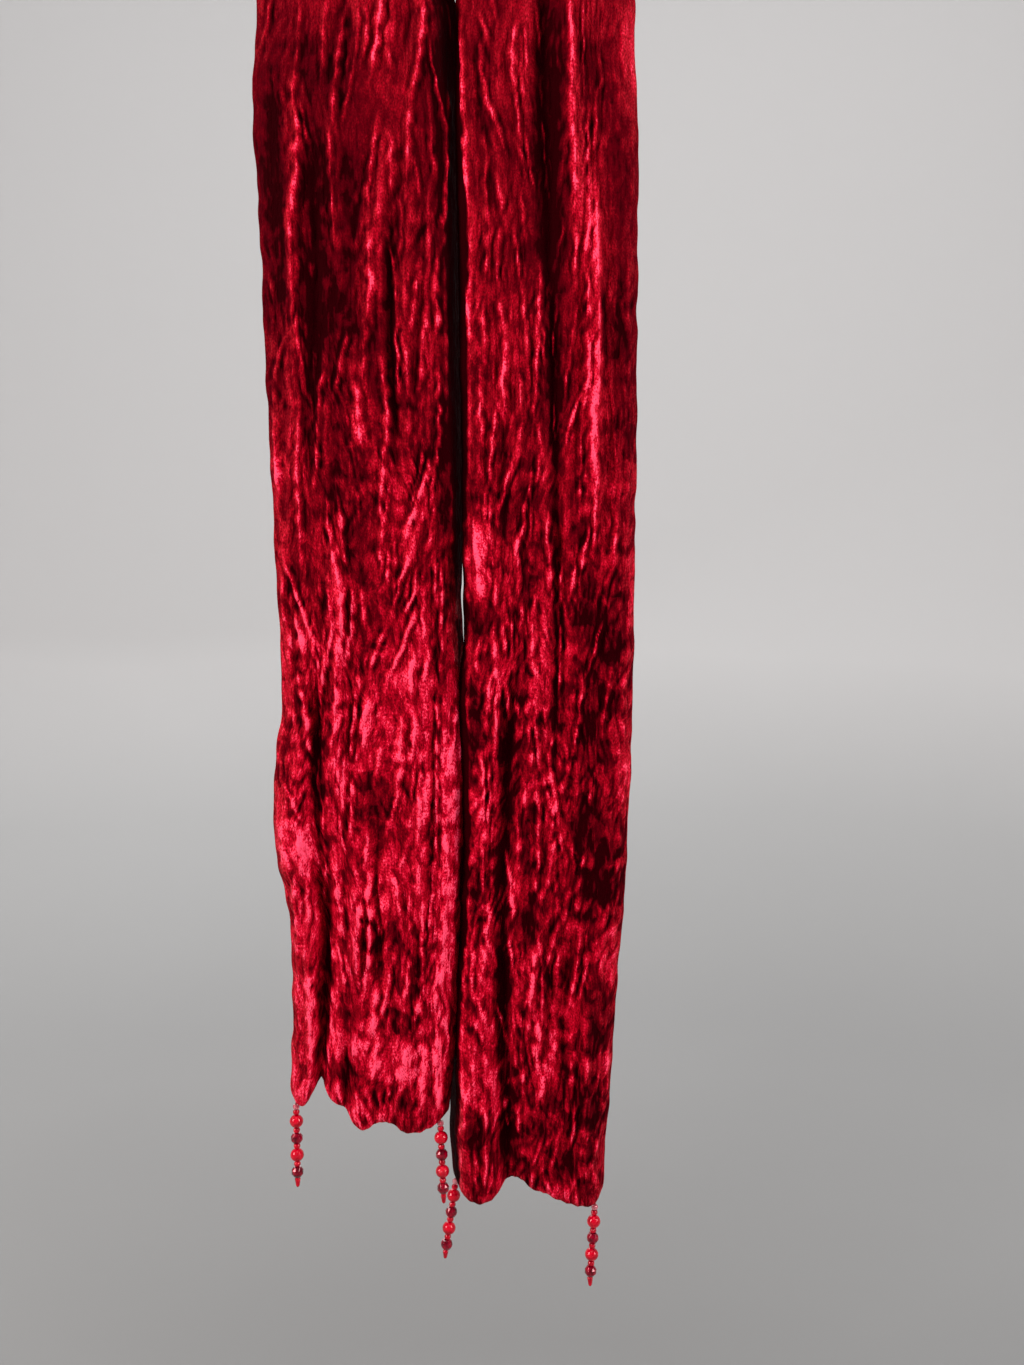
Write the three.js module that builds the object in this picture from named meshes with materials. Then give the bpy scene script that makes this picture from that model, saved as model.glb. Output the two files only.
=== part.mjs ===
// A crinkled velvet scarf that hangs from its middle, both tails side by side, with a string of
// glass beads at each of its four corners.
// Millimetres, +Z up, the front of both tails towards -Y.
// The origin is the underside of the loop at its top, where a hand or a peg carries the cloth.
import * as THREE from 'three';

// Cloth: two layers of velvet, sewn as a tube, turned and pressed flat
const wall = 2.6;
const edgeRound = 1.0;
const hemWall = 1.3;
const seamGap = 0.3;
const sideEdgeShare = 0.7;
const columns = 36;
const tailRows = 26;
const loopRows = 25;
const hemCrowding = 1.15;
const topCrowding = 1.5;

// The tails start at this height below the origin. Their middle bows to the front, and a fold
// fades in and out over a share of its length.
const junctionDrop = 180;
const forwardBow = 4;
const fadeShare = 0.35;
const fadeMost = 60;
const bowStart = 20;

// Beads of each string, in the order they are threaded
const threadRadius = 0.6;
const boreRadius = 1.0;
const beadGap = 0.3;
const beadSides = 8;
const roundSteps = 7;
const bead = {
  seed: { radius: 2.0, shoulder: 1.35, height: 3.0, waist: 0.45 },
  round: { radius: 4.0, height: 7.6 },
  cut: { radius: 3.5, shoulder: 2.2, height: 6.0, waist: 0.38 },
  tip: { radius: 1.9, shoulder: 0.9, height: 4.0, waist: 0.45 },
};
const stringOrder = ['seed', 'seed', 'round', 'seed', 'cut', 'seed', 'round', 'seed', 'cut', 'tip'];

// Outline of each tail seen from the front: a row for each height, drop is below the origin
const leftOutline = [
  { drop: 180, outer: -104.0, inner: -1.7 },
  { drop: 251, outer: -107.9, inner: -2.5 },
  { drop: 292, outer: -105.7, inner: -2.8 },
  { drop: 397, outer: -103.3, inner: -1.8 },
  { drop: 506, outer: -100.2, inner: 1.0 },
  { drop: 562, outer: -98.6, inner: 3.0 },
  { drop: 596, outer: -102.7, inner: 3.9 },
  { drop: 648, outer: -104.4, inner: 4.3 },
  { drop: 677, outer: -98.7, inner: 2.4 },
  { drop: 713, outer: -96.0, inner: -0.6 },
  { drop: 761, outer: -97.0, inner: -2.6 },
  { drop: 797, outer: -98.9, inner: -5.7 },
  { drop: 816, outer: -98.0, inner: -7.0 },
];
const rightOutline = [
  { drop: 180, outer: 95.5, inner: 1.2 },
  { drop: 251, outer: 98.1, inner: 0.7 },
  { drop: 344, outer: 99.1, inner: 2.3 },
  { drop: 451, outer: 99.3, inner: 3.5 },
  { drop: 562, outer: 98.9, inner: 4.6 },
  { drop: 619, outer: 97.8, inner: 5.5 },
  { drop: 677, outer: 95.6, inner: 4.1 },
  { drop: 713, outer: 93.1, inner: 1.7 },
  { drop: 761, outer: 90.1, inner: -0.9 },
  { drop: 797, outer: 88.1, inner: -4.0 },
  { drop: 828, outer: 86.0, inner: -4.7 },
  { drop: 863, outer: 84.5, inner: -3.1 },
];

// Hem of each tail, from its outer corner to its inner one
const leftHem = [
  { x: -99, drop: 797 },
  { x: -95, drop: 801 },
  { x: -91, drop: 800 },
  { x: -86, drop: 792 },
  { x: -82, drop: 783 },
  { x: -79, drop: 790 },
  { x: -74, drop: 797 },
  { x: -67, drop: 801 },
  { x: -63, drop: 809 },
  { x: -56, drop: 814 },
  { x: -48, drop: 809 },
  { x: -39, drop: 810 },
  { x: -32, drop: 815 },
  { x: -24, drop: 816 },
  { x: -14, drop: 812 },
  { x: -7, drop: 806 },
];
const rightHem = [
  { x: 85, drop: 855 },
  { x: 81, drop: 862 },
  { x: 70, drop: 861 },
  { x: 59, drop: 857 },
  { x: 50, drop: 852 },
  { x: 43, drop: 850 },
  { x: 37, drop: 844 },
  { x: 28, drop: 845 },
  { x: 24, drop: 851 },
  { x: 19, drop: 857 },
  { x: 12, drop: 860 },
  { x: 2, drop: 857 },
  { x: -3, drop: 851 },
];

// How far the side edges of each tail roll to the back, and over what width, at heights below the origin
const leftRoll = [
  { drop: 0, inner: 0, innerWide: 14, outer: 0, outerWide: 16 },
  { drop: 110, inner: 6, innerWide: 14, outer: 3, outerWide: 16 },
  { drop: 200, inner: 14, innerWide: 13, outer: 5, outerWide: 14 },
  { drop: 480, inner: 14, innerWide: 13, outer: 5, outerWide: 14 },
  { drop: 600, inner: 9, innerWide: 12, outer: 5, outerWide: 13 },
  { drop: 700, inner: 5, innerWide: 10, outer: 6, outerWide: 13 },
  { drop: 820, inner: 4, innerWide: 9, outer: 4, outerWide: 10 },
];
const rightRoll = [
  { drop: 0, inner: 0, innerWide: 12, outer: 0, outerWide: 16 },
  { drop: 110, inner: 3, innerWide: 12, outer: 3, outerWide: 16 },
  { drop: 200, inner: 6, innerWide: 9, outer: 5, outerWide: 12 },
  { drop: 480, inner: 7, innerWide: 9, outer: 5, outerWide: 12 },
  { drop: 600, inner: 10, innerWide: 11, outer: 6, outerWide: 14 },
  { drop: 720, inner: 14, innerWide: 12, outer: 6, outerWide: 14 },
  { drop: 860, inner: 12, innerWide: 12, outer: 4, outerWide: 11 },
];

// Middle line of the cloth over the loop, from the top of the left tail to the top of the right one.
// half is half the cloth's gathered width, and turn the heading of its inner edge: 0 is +X, 90 is -Y.
const loopLine = [
  { x: -52.9, z: -220, half: 51.1, turn: 0 },
  { x: -52.9, z: -180, half: 51.1, turn: 0 },
  { x: -49.0, z: -140, half: 48.0, turn: 14 },
  { x: -41.0, z: -100, half: 43.0, turn: 40 },
  { x: -33.0, z: -65, half: 38.0, turn: 66 },
  { x: -26.5, z: -34, half: 35.0, turn: 84 },
  { x: -18.0, z: -5, half: 33.5, turn: 90 },
  { x: 0.0, z: 5.7, half: 33.0, turn: 90 },
  { x: 18.0, z: -5, half: 33.5, turn: 90 },
  { x: 26.5, z: -34, half: 35.0, turn: 96 },
  { x: 32.0, z: -65, half: 37.0, turn: 114 },
  { x: 39.0, z: -100, half: 41.5, turn: 140 },
  { x: 45.5, z: -140, half: 45.0, turn: 166 },
  { x: 48.4, z: -180, half: 47.1, turn: 180 },
  { x: 48.4, z: -220, half: 47.1, turn: 180 },
];

// Gathers over the loop: how far each runs down the left and the right arm, its place across the
// cloth (-1 is the outer edge, 1 the inner one), its depth to the front and its half width
const gathers = [
  { left: 250, right: 230, across: -0.8, deep: -3.6, wide: 9 },
  { left: 190, right: 260, across: -0.44, deep: 3.4, wide: 9 },
  { left: 270, right: 200, across: -0.12, deep: -4.4, wide: 9 },
  { left: 230, right: 180, across: 0.22, deep: 3.6, wide: 8 },
  { left: 170, right: 240, across: 0.54, deep: -4.2, wide: 8 },
  { left: 210, right: 210, across: 0.86, deep: 2.6, wide: 7 },
];

// Folds of each tail: top and bottom are measured along the cloth from the top of the loop
const leftFolds = [
  { top: 262, bottom: 476, acrossTop: -0.64, acrossBottom: -0.73, deep: 3.0, wide: 7 },
  { top: 270, bottom: 430, acrossTop: -0.38, acrossBottom: -0.5, deep: -2.8, wide: 7 },
  { top: 240, bottom: 360, acrossTop: -0.22, acrossBottom: -0.18, deep: 2.2, wide: 6 },
  { top: 265, bottom: 390, acrossTop: 0.34, acrossBottom: 0.1, deep: 3.2, wide: 7 },
  { top: 290, bottom: 476, acrossTop: 0.3, acrossBottom: 0.34, deep: -2.8, wide: 6 },
  { top: 280, bottom: 415, acrossTop: 0.58, acrossBottom: 0.44, deep: 2.6, wide: 6 },
  { top: 150, bottom: 275, acrossTop: 0.84, acrossBottom: 0.92, deep: -6.5, wide: 9 },
  { top: 170, bottom: 268, acrossTop: 0.7, acrossBottom: 0.6, deep: 3.0, wide: 6 },
  { top: 430, bottom: 515, acrossTop: 0.78, acrossBottom: 0.38, deep: 2.6, wide: 6 },
  { top: 395, bottom: 475, acrossTop: -0.38, acrossBottom: -0.42, deep: 2.2, wide: 6 },
  { top: 480, bottom: 665, acrossTop: -0.33, acrossBottom: -0.37, deep: 3.6, wide: 7 },
  { top: 500, bottom: 590, acrossTop: -0.84, acrossBottom: -0.8, deep: -2.2, wide: 6 },
  { top: 570, bottom: 690, acrossTop: -0.62, acrossBottom: -0.5, deep: -4.5, wide: 7 },
  { top: 650, bottom: 850, acrossTop: -0.5, acrossBottom: -0.66, deep: -7.5, wide: 8 },
  { top: 605, bottom: 700, acrossTop: -0.86, acrossBottom: -0.84, deep: 3.2, wide: 12 },
  { top: 600, bottom: 710, acrossTop: 0.55, acrossBottom: 0.52, deep: 3.0, wide: 6 },
  { top: 620, bottom: 765, acrossTop: 0.12, acrossBottom: 0.0, deep: -3.0, wide: 7 },
  { top: 655, bottom: 770, acrossTop: -0.16, acrossBottom: -0.3, deep: 2.8, wide: 6 },
  { top: 700, bottom: 840, acrossTop: 0.38, acrossBottom: 0.42, deep: 2.8, wide: 8 },
  { top: 505, bottom: 700, acrossTop: 0.72, acrossBottom: 0.68, deep: -2.4, wide: 6 },
  { top: 770, bottom: 840, acrossTop: -0.26, acrossBottom: -0.3, deep: -3.2, wide: 7 },
];
const rightFolds = [
  { top: 110, bottom: 380, acrossTop: 0.04, acrossBottom: 0.0, deep: -6.5, wide: 12 },
  { top: 320, bottom: 640, acrossTop: 0.0, acrossBottom: -0.16, deep: -4.6, wide: 8 },
  { top: 550, bottom: 730, acrossTop: 0.42, acrossBottom: 0.46, deep: -6.0, wide: 9 },
  { top: 690, bottom: 900, acrossTop: 0.47, acrossBottom: 0.2, deep: -8.0, wide: 9 },
  { top: 170, bottom: 355, acrossTop: -0.26, acrossBottom: -0.36, deep: 4.0, wide: 7 },
  { top: 295, bottom: 515, acrossTop: -0.54, acrossBottom: -0.5, deep: 3.6, wide: 7 },
  { top: 235, bottom: 330, acrossTop: 0.7, acrossBottom: 0.46, deep: 2.6, wide: 6 },
  { top: 465, bottom: 550, acrossTop: 0.8, acrossBottom: 0.78, deep: 2.6, wide: 6 },
  { top: 555, bottom: 660, acrossTop: 0.16, acrossBottom: 0.2, deep: 2.6, wide: 6 },
  { top: 600, bottom: 700, acrossTop: 0.8, acrossBottom: 0.8, deep: 2.8, wide: 6 },
  { top: 675, bottom: 800, acrossTop: 0.03, acrossBottom: -0.02, deep: 3.2, wide: 7 },
  { top: 695, bottom: 830, acrossTop: -0.38, acrossBottom: -0.37, deep: -2.8, wide: 7 },
  { top: 715, bottom: 885, acrossTop: -0.62, acrossBottom: -0.78, deep: 2.8, wide: 8 },
  { top: 750, bottom: 885, acrossTop: 0.8, acrossBottom: 0.84, deep: 2.6, wide: 7 },
  { top: 400, bottom: 515, acrossTop: 0.5, acrossBottom: 0.54, deep: -2.4, wide: 6 },
];

// The four strings: the tail and place across its hem that each hangs from, and how many degrees its
// lower end leans to +X
const strings = [
  { name: 'left_outer', arm: -1, across: -0.95, lean: 0 },
  { name: 'left_inner', arm: -1, across: 0.93, lean: 2 },
  { name: 'right_inner', arm: 1, across: 1.0, lean: -8 },
  { name: 'right_outer', arm: 1, across: -0.92, lean: -3 },
];

const velvet = new THREE.MeshStandardMaterial({ color: 0x8a0a1e, roughness: 0.75, metalness: 0 });
const clearRed = new THREE.MeshStandardMaterial({ color: 0xd01825, roughness: 0.08, metalness: 0 });
const darkRed = new THREE.MeshStandardMaterial({ color: 0x8c0a28, roughness: 0.05, metalness: 0 });
const seedRed = new THREE.MeshStandardMaterial({ color: 0xc8102e, roughness: 0.12, metalness: 0 });

// The value of one column of a table at a key, on a smooth curve through its rows
function smooth(rows, key, column, at) {
  const last = rows.length - 1;
  const rising = rows[last][key] > rows[0][key];
  const passed = (row) => (rising ? row[key] <= at : row[key] >= at);
  if (!passed(rows[0])) return rows[0][column];
  if (passed(rows[last])) return rows[last][column];
  const i = rows.findIndex((row) => !passed(row)) - 1;
  const slope = (j) => {
    const before = rows[Math.max(j - 1, 0)];
    const after = rows[Math.min(j + 1, last)];
    return (after[column] - before[column]) / (after[key] - before[key]);
  };
  const span = rows[i + 1][key] - rows[i][key];
  const t = (at - rows[i][key]) / span;
  const [p, q] = [rows[i][column], rows[i + 1][column]];
  return (
    p * (1 + 2 * t) * (1 - t) ** 2 +
    q * t * t * (3 - 2 * t) +
    span * (slope(i) * t * (1 - t) ** 2 - slope(i + 1) * t * t * (1 - t))
  );
}

// Length along the loop's middle line, added to each row, with 0 at its top
const loopTop = loopLine.findIndex((row) => row.x === 0);
loopLine.forEach((row, i) => {
  const before = loopLine[i - 1] ?? row;
  row.along = (before.along ?? 0) + Math.hypot(row.x - before.x, row.z - before.z);
});
const alongTop = loopLine[loopTop].along;
loopLine.forEach((row) => {
  row.along -= alongTop;
});
const arms = {
  '-1': {
    outline: leftOutline,
    roll: leftRoll,
    hem: leftHem,
    folds: leftFolds,
    start: -loopLine[1].along,
  },
  1: {
    outline: rightOutline,
    roll: rightRoll,
    hem: rightHem,
    folds: rightFolds,
    start: loopLine.at(-2).along,
  },
};
for (const arm of Object.values(arms)) {
  const drops = arm.hem.map((row) => row.drop);
  const meanDrop = drops.reduce((sum, drop) => sum + drop, 0) / drops.length;
  arm.end = arm.start + meanDrop - junctionDrop;
}

// 1 in the middle of a fold's length, easing to 0 at its two ends
function fade(along, top, bottom) {
  const ease = Math.min((bottom - top) * fadeShare, fadeMost);
  const step = (distance) => {
    const t = THREE.MathUtils.clamp(distance / ease, 0, 1);
    return t * t * (3 - 2 * t);
  };
  return step(along - top) * step(bottom - along);
}

// A soft ridge of height 1, as wide as twice its half width
function ridge(distance, halfWidth) {
  const t = Math.min(Math.abs(distance / halfWidth), 1);
  return (1 + Math.cos(Math.PI * t)) / 2;
}

// How far the folds carry the cloth to its outer face, at a place across and along
function foldDepth(across, along, half) {
  const side = along < 0 ? -1 : 1;
  const reach = Math.abs(along);
  let depth = 0;
  for (const g of gathers) {
    const strength = fade(along, -g.left, g.right);
    depth += g.deep * strength * ridge((across - g.across) * half, g.wide);
  }
  for (const f of arms[side].folds) {
    const strength = fade(reach, f.top, f.bottom);
    const share = (reach - f.top) / (f.bottom - f.top);
    const place = THREE.MathUtils.lerp(f.acrossTop, f.acrossBottom, share);
    depth += f.deep * strength * ridge((across - place) * half, f.wide);
  }
  return depth;
}

// The middle of the cloth bows to the front, and its edges roll to the back
function crossBow(across, side, reach, half) {
  const { roll, start } = arms[side];
  const edge = across > 0 ? 'inner' : 'outer';
  const drop = (reach * junctionDrop) / start;
  const deep = smooth(roll, 'drop', edge, drop);
  const wide = smooth(roll, 'drop', `${edge}Wide`, drop);
  const past = Math.max(wide - (1 - Math.abs(across)) * half, 0) / wide;
  const bow = forwardBow * THREE.MathUtils.smoothstep(drop, bowStart, junctionDrop);
  return bow * (1 - across * across) - deep * past * past;
}

// A point of the cloth's middle surface: across is -1 at the outer edge and 1 at the inner one,
// along is measured over the loop, below 0 on the left arm
function clothPoint(across, along) {
  const side = along < 0 ? -1 : 1;
  const reach = Math.abs(along);
  const arm = arms[side];
  if (reach < arm.start) {
    const at = (column) => smooth(loopLine, 'along', column, along);
    const step = 0.5;
    const nearby = (column) =>
      smooth(loopLine, 'along', column, along + step) - smooth(loopLine, 'along', column, along - step);
    const tangent = new THREE.Vector3(nearby('x'), 0, nearby('z')).normalize();
    const turn = THREE.MathUtils.degToRad(at('turn'));
    const inward = new THREE.Vector3(Math.cos(turn), -Math.sin(turn), 0);
    const outward = inward.clone().cross(tangent).normalize();
    const half = at('half') - wall / 2;
    return new THREE.Vector3(at('x'), 0, at('z'))
      .addScaledVector(inward, across * half)
      .addScaledVector(outward, crossBow(across, side, reach, half) + foldDepth(across, along, half));
  }
  const share = (reach - arm.start) / (arm.end - arm.start);
  const place = (drop, edge) => smooth(arm.outline, 'drop', edge, drop);
  const hemX = THREE.MathUtils.mapLinear(across, -1, 1, arm.hem[0].x, arm.hem.at(-1).x);
  const hemDrop = smooth(arm.hem, 'x', 'drop', hemX);
  const drop = THREE.MathUtils.lerp(junctionDrop, hemDrop, share);
  const outer = place(drop, 'outer') - side * (wall / 2);
  const inner = place(drop, 'inner') + side * (wall / 2);
  const x = THREE.MathUtils.mapLinear(across, -1, 1, outer, inner);
  const half = Math.abs(inner - outer) / 2;
  const forward = crossBow(across, side, reach, half) + foldDepth(across, along, half);
  return new THREE.Vector3(x, -forward, -drop);
}

// Outward normal of the cloth, towards the front on both tails
function clothNormal(across, along) {
  const step = { across: 0.01, along: 0.5 };
  const acrossWay = clothPoint(across + step.across, along).sub(clothPoint(across - step.across, along));
  const alongWay = clothPoint(across, along + step.along).sub(clothPoint(across, along - step.along));
  return acrossWay.cross(alongWay).normalize();
}

// One ring of points round the wall: the front from the outer edge to the inner one, the rounded
// inner edge, the back, and the rounded outer edge
function wallRing(along, thickness) {
  const front = [];
  const back = [];
  for (let i = 0; i <= columns; i++) {
    const across = -1 + (2 * i) / columns;
    const middle = clothPoint(across, along);
    const normal = clothNormal(across, along);
    const share = i === 0 || i === columns ? sideEdgeShare : 1;
    front.push(middle.clone().addScaledVector(normal, (thickness * share) / 2));
    back.unshift(middle.clone().addScaledVector(normal, (-thickness * share) / 2));
  }
  const rim = (edge) => {
    const outward = clothPoint(edge, along).sub(clothPoint(edge * 0.98, along)).normalize();
    return clothPoint(edge, along).addScaledVector(outward, (edgeRound * thickness) / wall);
  };
  return [...front, rim(1), ...back, rim(-1)];
}

// A closed wall of cloth through rings, with a strip of faces over each end
function clothStretch(rings) {
  const points = rings.flat();
  const around = rings[0].length;
  const faces = [];
  const quad = (a, b, c, d) => faces.push(a, b, c, a, c, d);
  for (let r = 0; r + 1 < rings.length; r++) {
    for (let i = 0; i < around; i++) {
      const next = (i + 1) % around;
      quad(r * around + i, r * around + next, (r + 1) * around + next, (r + 1) * around + i);
    }
  }
  const lastRing = (rings.length - 1) * around;
  const backOf = (i) => 2 * columns + 2 - i;
  for (let i = 0; i < columns; i++) {
    quad(i, backOf(i), backOf(i + 1), i + 1);
    quad(lastRing + i, lastRing + i + 1, lastRing + backOf(i + 1), lastRing + backOf(i));
  }
  for (const [start, flip] of [[0, false], [lastRing, true]]) {
    const ends = [
      [start + columns, start + backOf(columns), start + columns + 1],
      [start + backOf(0), start, start + around - 1],
    ];
    for (const [a, b, c] of ends) faces.push(a, flip ? c : b, flip ? b : c);
  }
  const geometry = new THREE.BufferGeometry().setFromPoints(points);
  geometry.setIndex(faces);
  geometry.computeVertexNormals();
  return geometry;
}

// The rings of a tail, from its seam with the loop down to its hem, where the wall thins and rounds
function tailRings(side) {
  const arm = arms[side];
  const rings = [];
  for (let r = 0; r <= tailRows; r++) {
    const share = 1 - (1 - r / tailRows) ** hemCrowding;
    const along = THREE.MathUtils.lerp(arm.start + seamGap / 2, arm.end - edgeRound, share);
    rings.push(wallRing(side * along, wall));
  }
  rings.push(wallRing(side * arm.end, hemWall));
  return side < 0 ? rings.reverse() : rings;
}

// The rings of the loop, closest where it bends most, at its top
function loopRings() {
  const rings = [];
  for (let r = 0; r <= loopRows; r++) {
    const place = -1 + (2 * r) / loopRows;
    const side = Math.sign(place);
    const reach = (arms[side].start - seamGap / 2) * Math.abs(place) ** topCrowding;
    rings.push(wallRing(side * reach, wall));
  }
  return rings;
}

function sewn(name, geometry, material) {
  const mesh = new THREE.Mesh(geometry, material);
  mesh.name = name;
  return mesh;
}

// A bead's outline from its lower end to its upper one, as radius and height about its own middle
function beadOutline(kind) {
  const { radius, shoulder, height, waist } = bead[kind];
  const end = height / 2;
  if (kind === 'round') {
    const start = Math.asin(boreRadius / radius);
    return Array.from({ length: roundSteps + 1 }, (_, i) => {
      const angle = THREE.MathUtils.lerp(start, Math.PI - start, i / roundSteps);
      return new THREE.Vector2(radius * Math.sin(angle), (-end * Math.cos(angle)) / Math.cos(start));
    });
  }
  return [
    new THREE.Vector2(shoulder, -end),
    new THREE.Vector2(radius, -end * waist),
    new THREE.Vector2(radius, end * waist),
    new THREE.Vector2(shoulder, end),
  ];
}

// A glass bead with its bore, as a ring turned about the string
function boredBead(kind) {
  const outline = beadOutline(kind);
  if (kind === 'round') return new THREE.LatheGeometry([...outline, outline[0].clone()], beadSides);
  const end = bead[kind].height / 2;
  const low = new THREE.Vector2(boreRadius, -end);
  const high = new THREE.Vector2(boreRadius, end);
  return new THREE.LatheGeometry([low, ...outline, high, low.clone()], beadSides);
}

// A string of beads, built upright with its knot at the origin: the thread with its seed beads is
// one piece, and each large bead is its own, loose on the thread
function beadString({ name, arm, across, lean }) {
  const string = new THREE.Group();
  const outline = [];
  const large = [];
  let height = -beadGap;
  outline.push(new THREE.Vector2(0, 0), new THREE.Vector2(threadRadius, 0));
  stringOrder.forEach((kind) => {
    const middle = height - bead[kind].height / 2;
    if (kind === 'round' || kind === 'cut') large.push({ kind, middle });
    else {
      const shape = beadOutline(kind).reverse();
      outline.push(new THREE.Vector2(threadRadius, middle + bead[kind].height / 2));
      outline.push(...shape.map((p) => new THREE.Vector2(p.x, p.y + middle)));
      if (kind !== 'tip') outline.push(new THREE.Vector2(threadRadius, middle - bead[kind].height / 2));
    }
    height -= bead[kind].height + beadGap;
  });
  outline.push(new THREE.Vector2(0, height + beadGap));
  const thread = new THREE.LatheGeometry(outline.reverse(), beadSides);
  string.add(sewn(`beads_${name}_thread`, thread, seedRed));
  large.forEach(({ kind, middle }, i) => {
    const glass = kind === 'round' ? clearRed : darkRed;
    const number = 1 + Math.floor(i / 2);
    const piece = sewn(`beads_${name}_${kind}_${number}`, boredBead(kind), glass);
    piece.position.y = middle;
    string.add(piece);
  });
  const hemPoint = (place) => clothPoint(place, arm * arms[arm].end);
  const knot = hemPoint(across);
  const beside = [-0.02, 0, 0.02];
  const lowest = Math.min(...beside.map((step) => hemPoint(across + step).z));
  string.position.set(knot.x, knot.y, lowest - beadGap);
  string.rotation.set(Math.PI / 2, 0, THREE.MathUtils.degToRad(lean));
  return string;
}

const scarf = new THREE.Group();
scarf.add(sewn('tail_left', clothStretch(tailRings(-1)), velvet));
scarf.add(sewn('middle_loop', clothStretch(loopRings()), velvet));
scarf.add(sewn('tail_right', clothStretch(tailRings(1)), velvet));
strings.forEach((row) => scarf.add(beadString(row)));

export default scarf;
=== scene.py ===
"""A crinkled crimson velvet scarf that hangs from its middle, with a drop of glass beads at each
corner. Sizes are in millimetres until a mesh is made, and +Z is up, as in the frame."""
import math

from functools import partial

import bmesh
import bpy
import numpy as np
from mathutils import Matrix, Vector


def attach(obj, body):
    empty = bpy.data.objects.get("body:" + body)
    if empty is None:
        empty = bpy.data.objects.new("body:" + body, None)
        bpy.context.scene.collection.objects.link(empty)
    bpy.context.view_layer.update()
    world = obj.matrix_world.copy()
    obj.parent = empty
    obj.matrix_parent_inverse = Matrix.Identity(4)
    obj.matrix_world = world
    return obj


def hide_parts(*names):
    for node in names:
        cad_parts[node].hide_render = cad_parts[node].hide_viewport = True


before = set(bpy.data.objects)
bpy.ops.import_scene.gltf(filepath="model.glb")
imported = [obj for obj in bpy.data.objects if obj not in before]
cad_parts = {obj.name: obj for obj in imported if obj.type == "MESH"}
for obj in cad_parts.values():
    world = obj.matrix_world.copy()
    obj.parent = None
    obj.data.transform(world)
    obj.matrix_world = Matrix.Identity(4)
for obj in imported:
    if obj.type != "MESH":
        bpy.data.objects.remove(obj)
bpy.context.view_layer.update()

MM = 0.001
MIDDLE_TO_EDGE = 51.0
WALL = 2.6

LEFT, RIGHT = -1, 1


def table(names, *rows):
    """A short table as one array for each named column."""
    return {name: np.array(column, float) for name, column in zip(names.split(), zip(*rows))}


def rows_of(columns):
    """The rows of a table, each as its named values."""
    names = list(columns)
    return [dict(zip(names, values)) for values in zip(*columns.values())]


# The camera stands in front of the tails, a little to the right of the middle, and looks down on
# them by a few degrees, as the photographer did.
LENS = 35.0
SENSOR = 36.0
CAMERA_PLACE = (31.0, -737.6, -461.6)
CAMERA_DOWN = 7.0


def set_camera():
    """The camera where the photographer stood."""
    bpy.ops.object.camera_add(location=[c * MM for c in CAMERA_PLACE])
    camera = bpy.context.object
    camera.name = "camera"
    camera.rotation_euler = (math.radians(90 - CAMERA_DOWN), 0, 0)
    camera.data.lens = LENS
    camera.data.sensor_width = SENSOR
    bpy.context.scene.camera = camera


set_camera()

# The garment's form, in the same values as its solids: drop is a height below the origin
JUNCTION_DROP = 180.0
FORWARD_BOW = 4.0
BOW_START = 20.0
FADE_SHARE = 0.35
FADE_MOST = 60.0
LEFT_OUTLINE = table(
    "drop outer inner",
    (180, -104.0, -1.7),
    (251, -107.9, -2.5),
    (292, -105.7, -2.8),
    (397, -103.3, -1.8),
    (506, -100.2, 1.0),
    (562, -98.6, 3.0),
    (596, -102.7, 3.9),
    (648, -104.4, 4.3),
    (677, -98.7, 2.4),
    (713, -96.0, -0.6),
    (761, -97.0, -2.6),
    (797, -98.9, -5.7),
    (816, -98.0, -7.0),
)
RIGHT_OUTLINE = table(
    "drop outer inner",
    (180, 95.5, 1.2),
    (251, 98.1, 0.7),
    (344, 99.1, 2.3),
    (451, 99.3, 3.5),
    (562, 98.9, 4.6),
    (619, 97.8, 5.5),
    (677, 95.6, 4.1),
    (713, 93.1, 1.7),
    (761, 90.1, -0.9),
    (797, 88.1, -4.0),
    (828, 86.0, -4.7),
    (863, 84.5, -3.1),
)
LEFT_HEM = table(
    "x drop",
    (-99, 797),
    (-95, 801),
    (-91, 800),
    (-86, 792),
    (-82, 783),
    (-79, 790),
    (-74, 797),
    (-67, 801),
    (-63, 809),
    (-56, 814),
    (-48, 809),
    (-39, 810),
    (-32, 815),
    (-24, 816),
    (-14, 812),
    (-7, 806),
)
RIGHT_HEM = table(
    "x drop",
    (85, 855),
    (81, 862),
    (70, 861),
    (59, 857),
    (50, 852),
    (43, 850),
    (37, 844),
    (28, 845),
    (24, 851),
    (19, 857),
    (12, 860),
    (2, 857),
    (-3, 851),
)
LEFT_ROLL = table(
    "drop inner inner_wide outer outer_wide",
    (0, 0, 14, 0, 16),
    (110, 6, 14, 3, 16),
    (200, 14, 13, 5, 14),
    (480, 14, 13, 5, 14),
    (600, 9, 12, 5, 13),
    (700, 5, 10, 6, 13),
    (820, 4, 9, 4, 10),
)
RIGHT_ROLL = table(
    "drop inner inner_wide outer outer_wide",
    (0, 0, 12, 0, 16),
    (110, 3, 12, 3, 16),
    (200, 6, 9, 5, 12),
    (480, 7, 9, 5, 12),
    (600, 10, 11, 6, 14),
    (720, 14, 12, 6, 14),
    (860, 12, 12, 4, 11),
)
LOOP_LINE = table(
    "x z half turn",
    (-52.9, -220, 51.1, 0),
    (-52.9, -180, 51.1, 0),
    (-49.0, -140, 48.0, 14),
    (-41.0, -100, 43.0, 40),
    (-33.0, -65, 38.0, 66),
    (-26.5, -34, 35.0, 84),
    (-18.0, -5, 33.5, 90),
    (0.0, 5.7, 33.0, 90),
    (18.0, -5, 33.5, 90),
    (26.5, -34, 35.0, 96),
    (32.0, -65, 37.0, 114),
    (39.0, -100, 41.5, 140),
    (45.5, -140, 45.0, 166),
    (48.4, -180, 47.1, 180),
    (48.4, -220, 47.1, 180),
)
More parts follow.
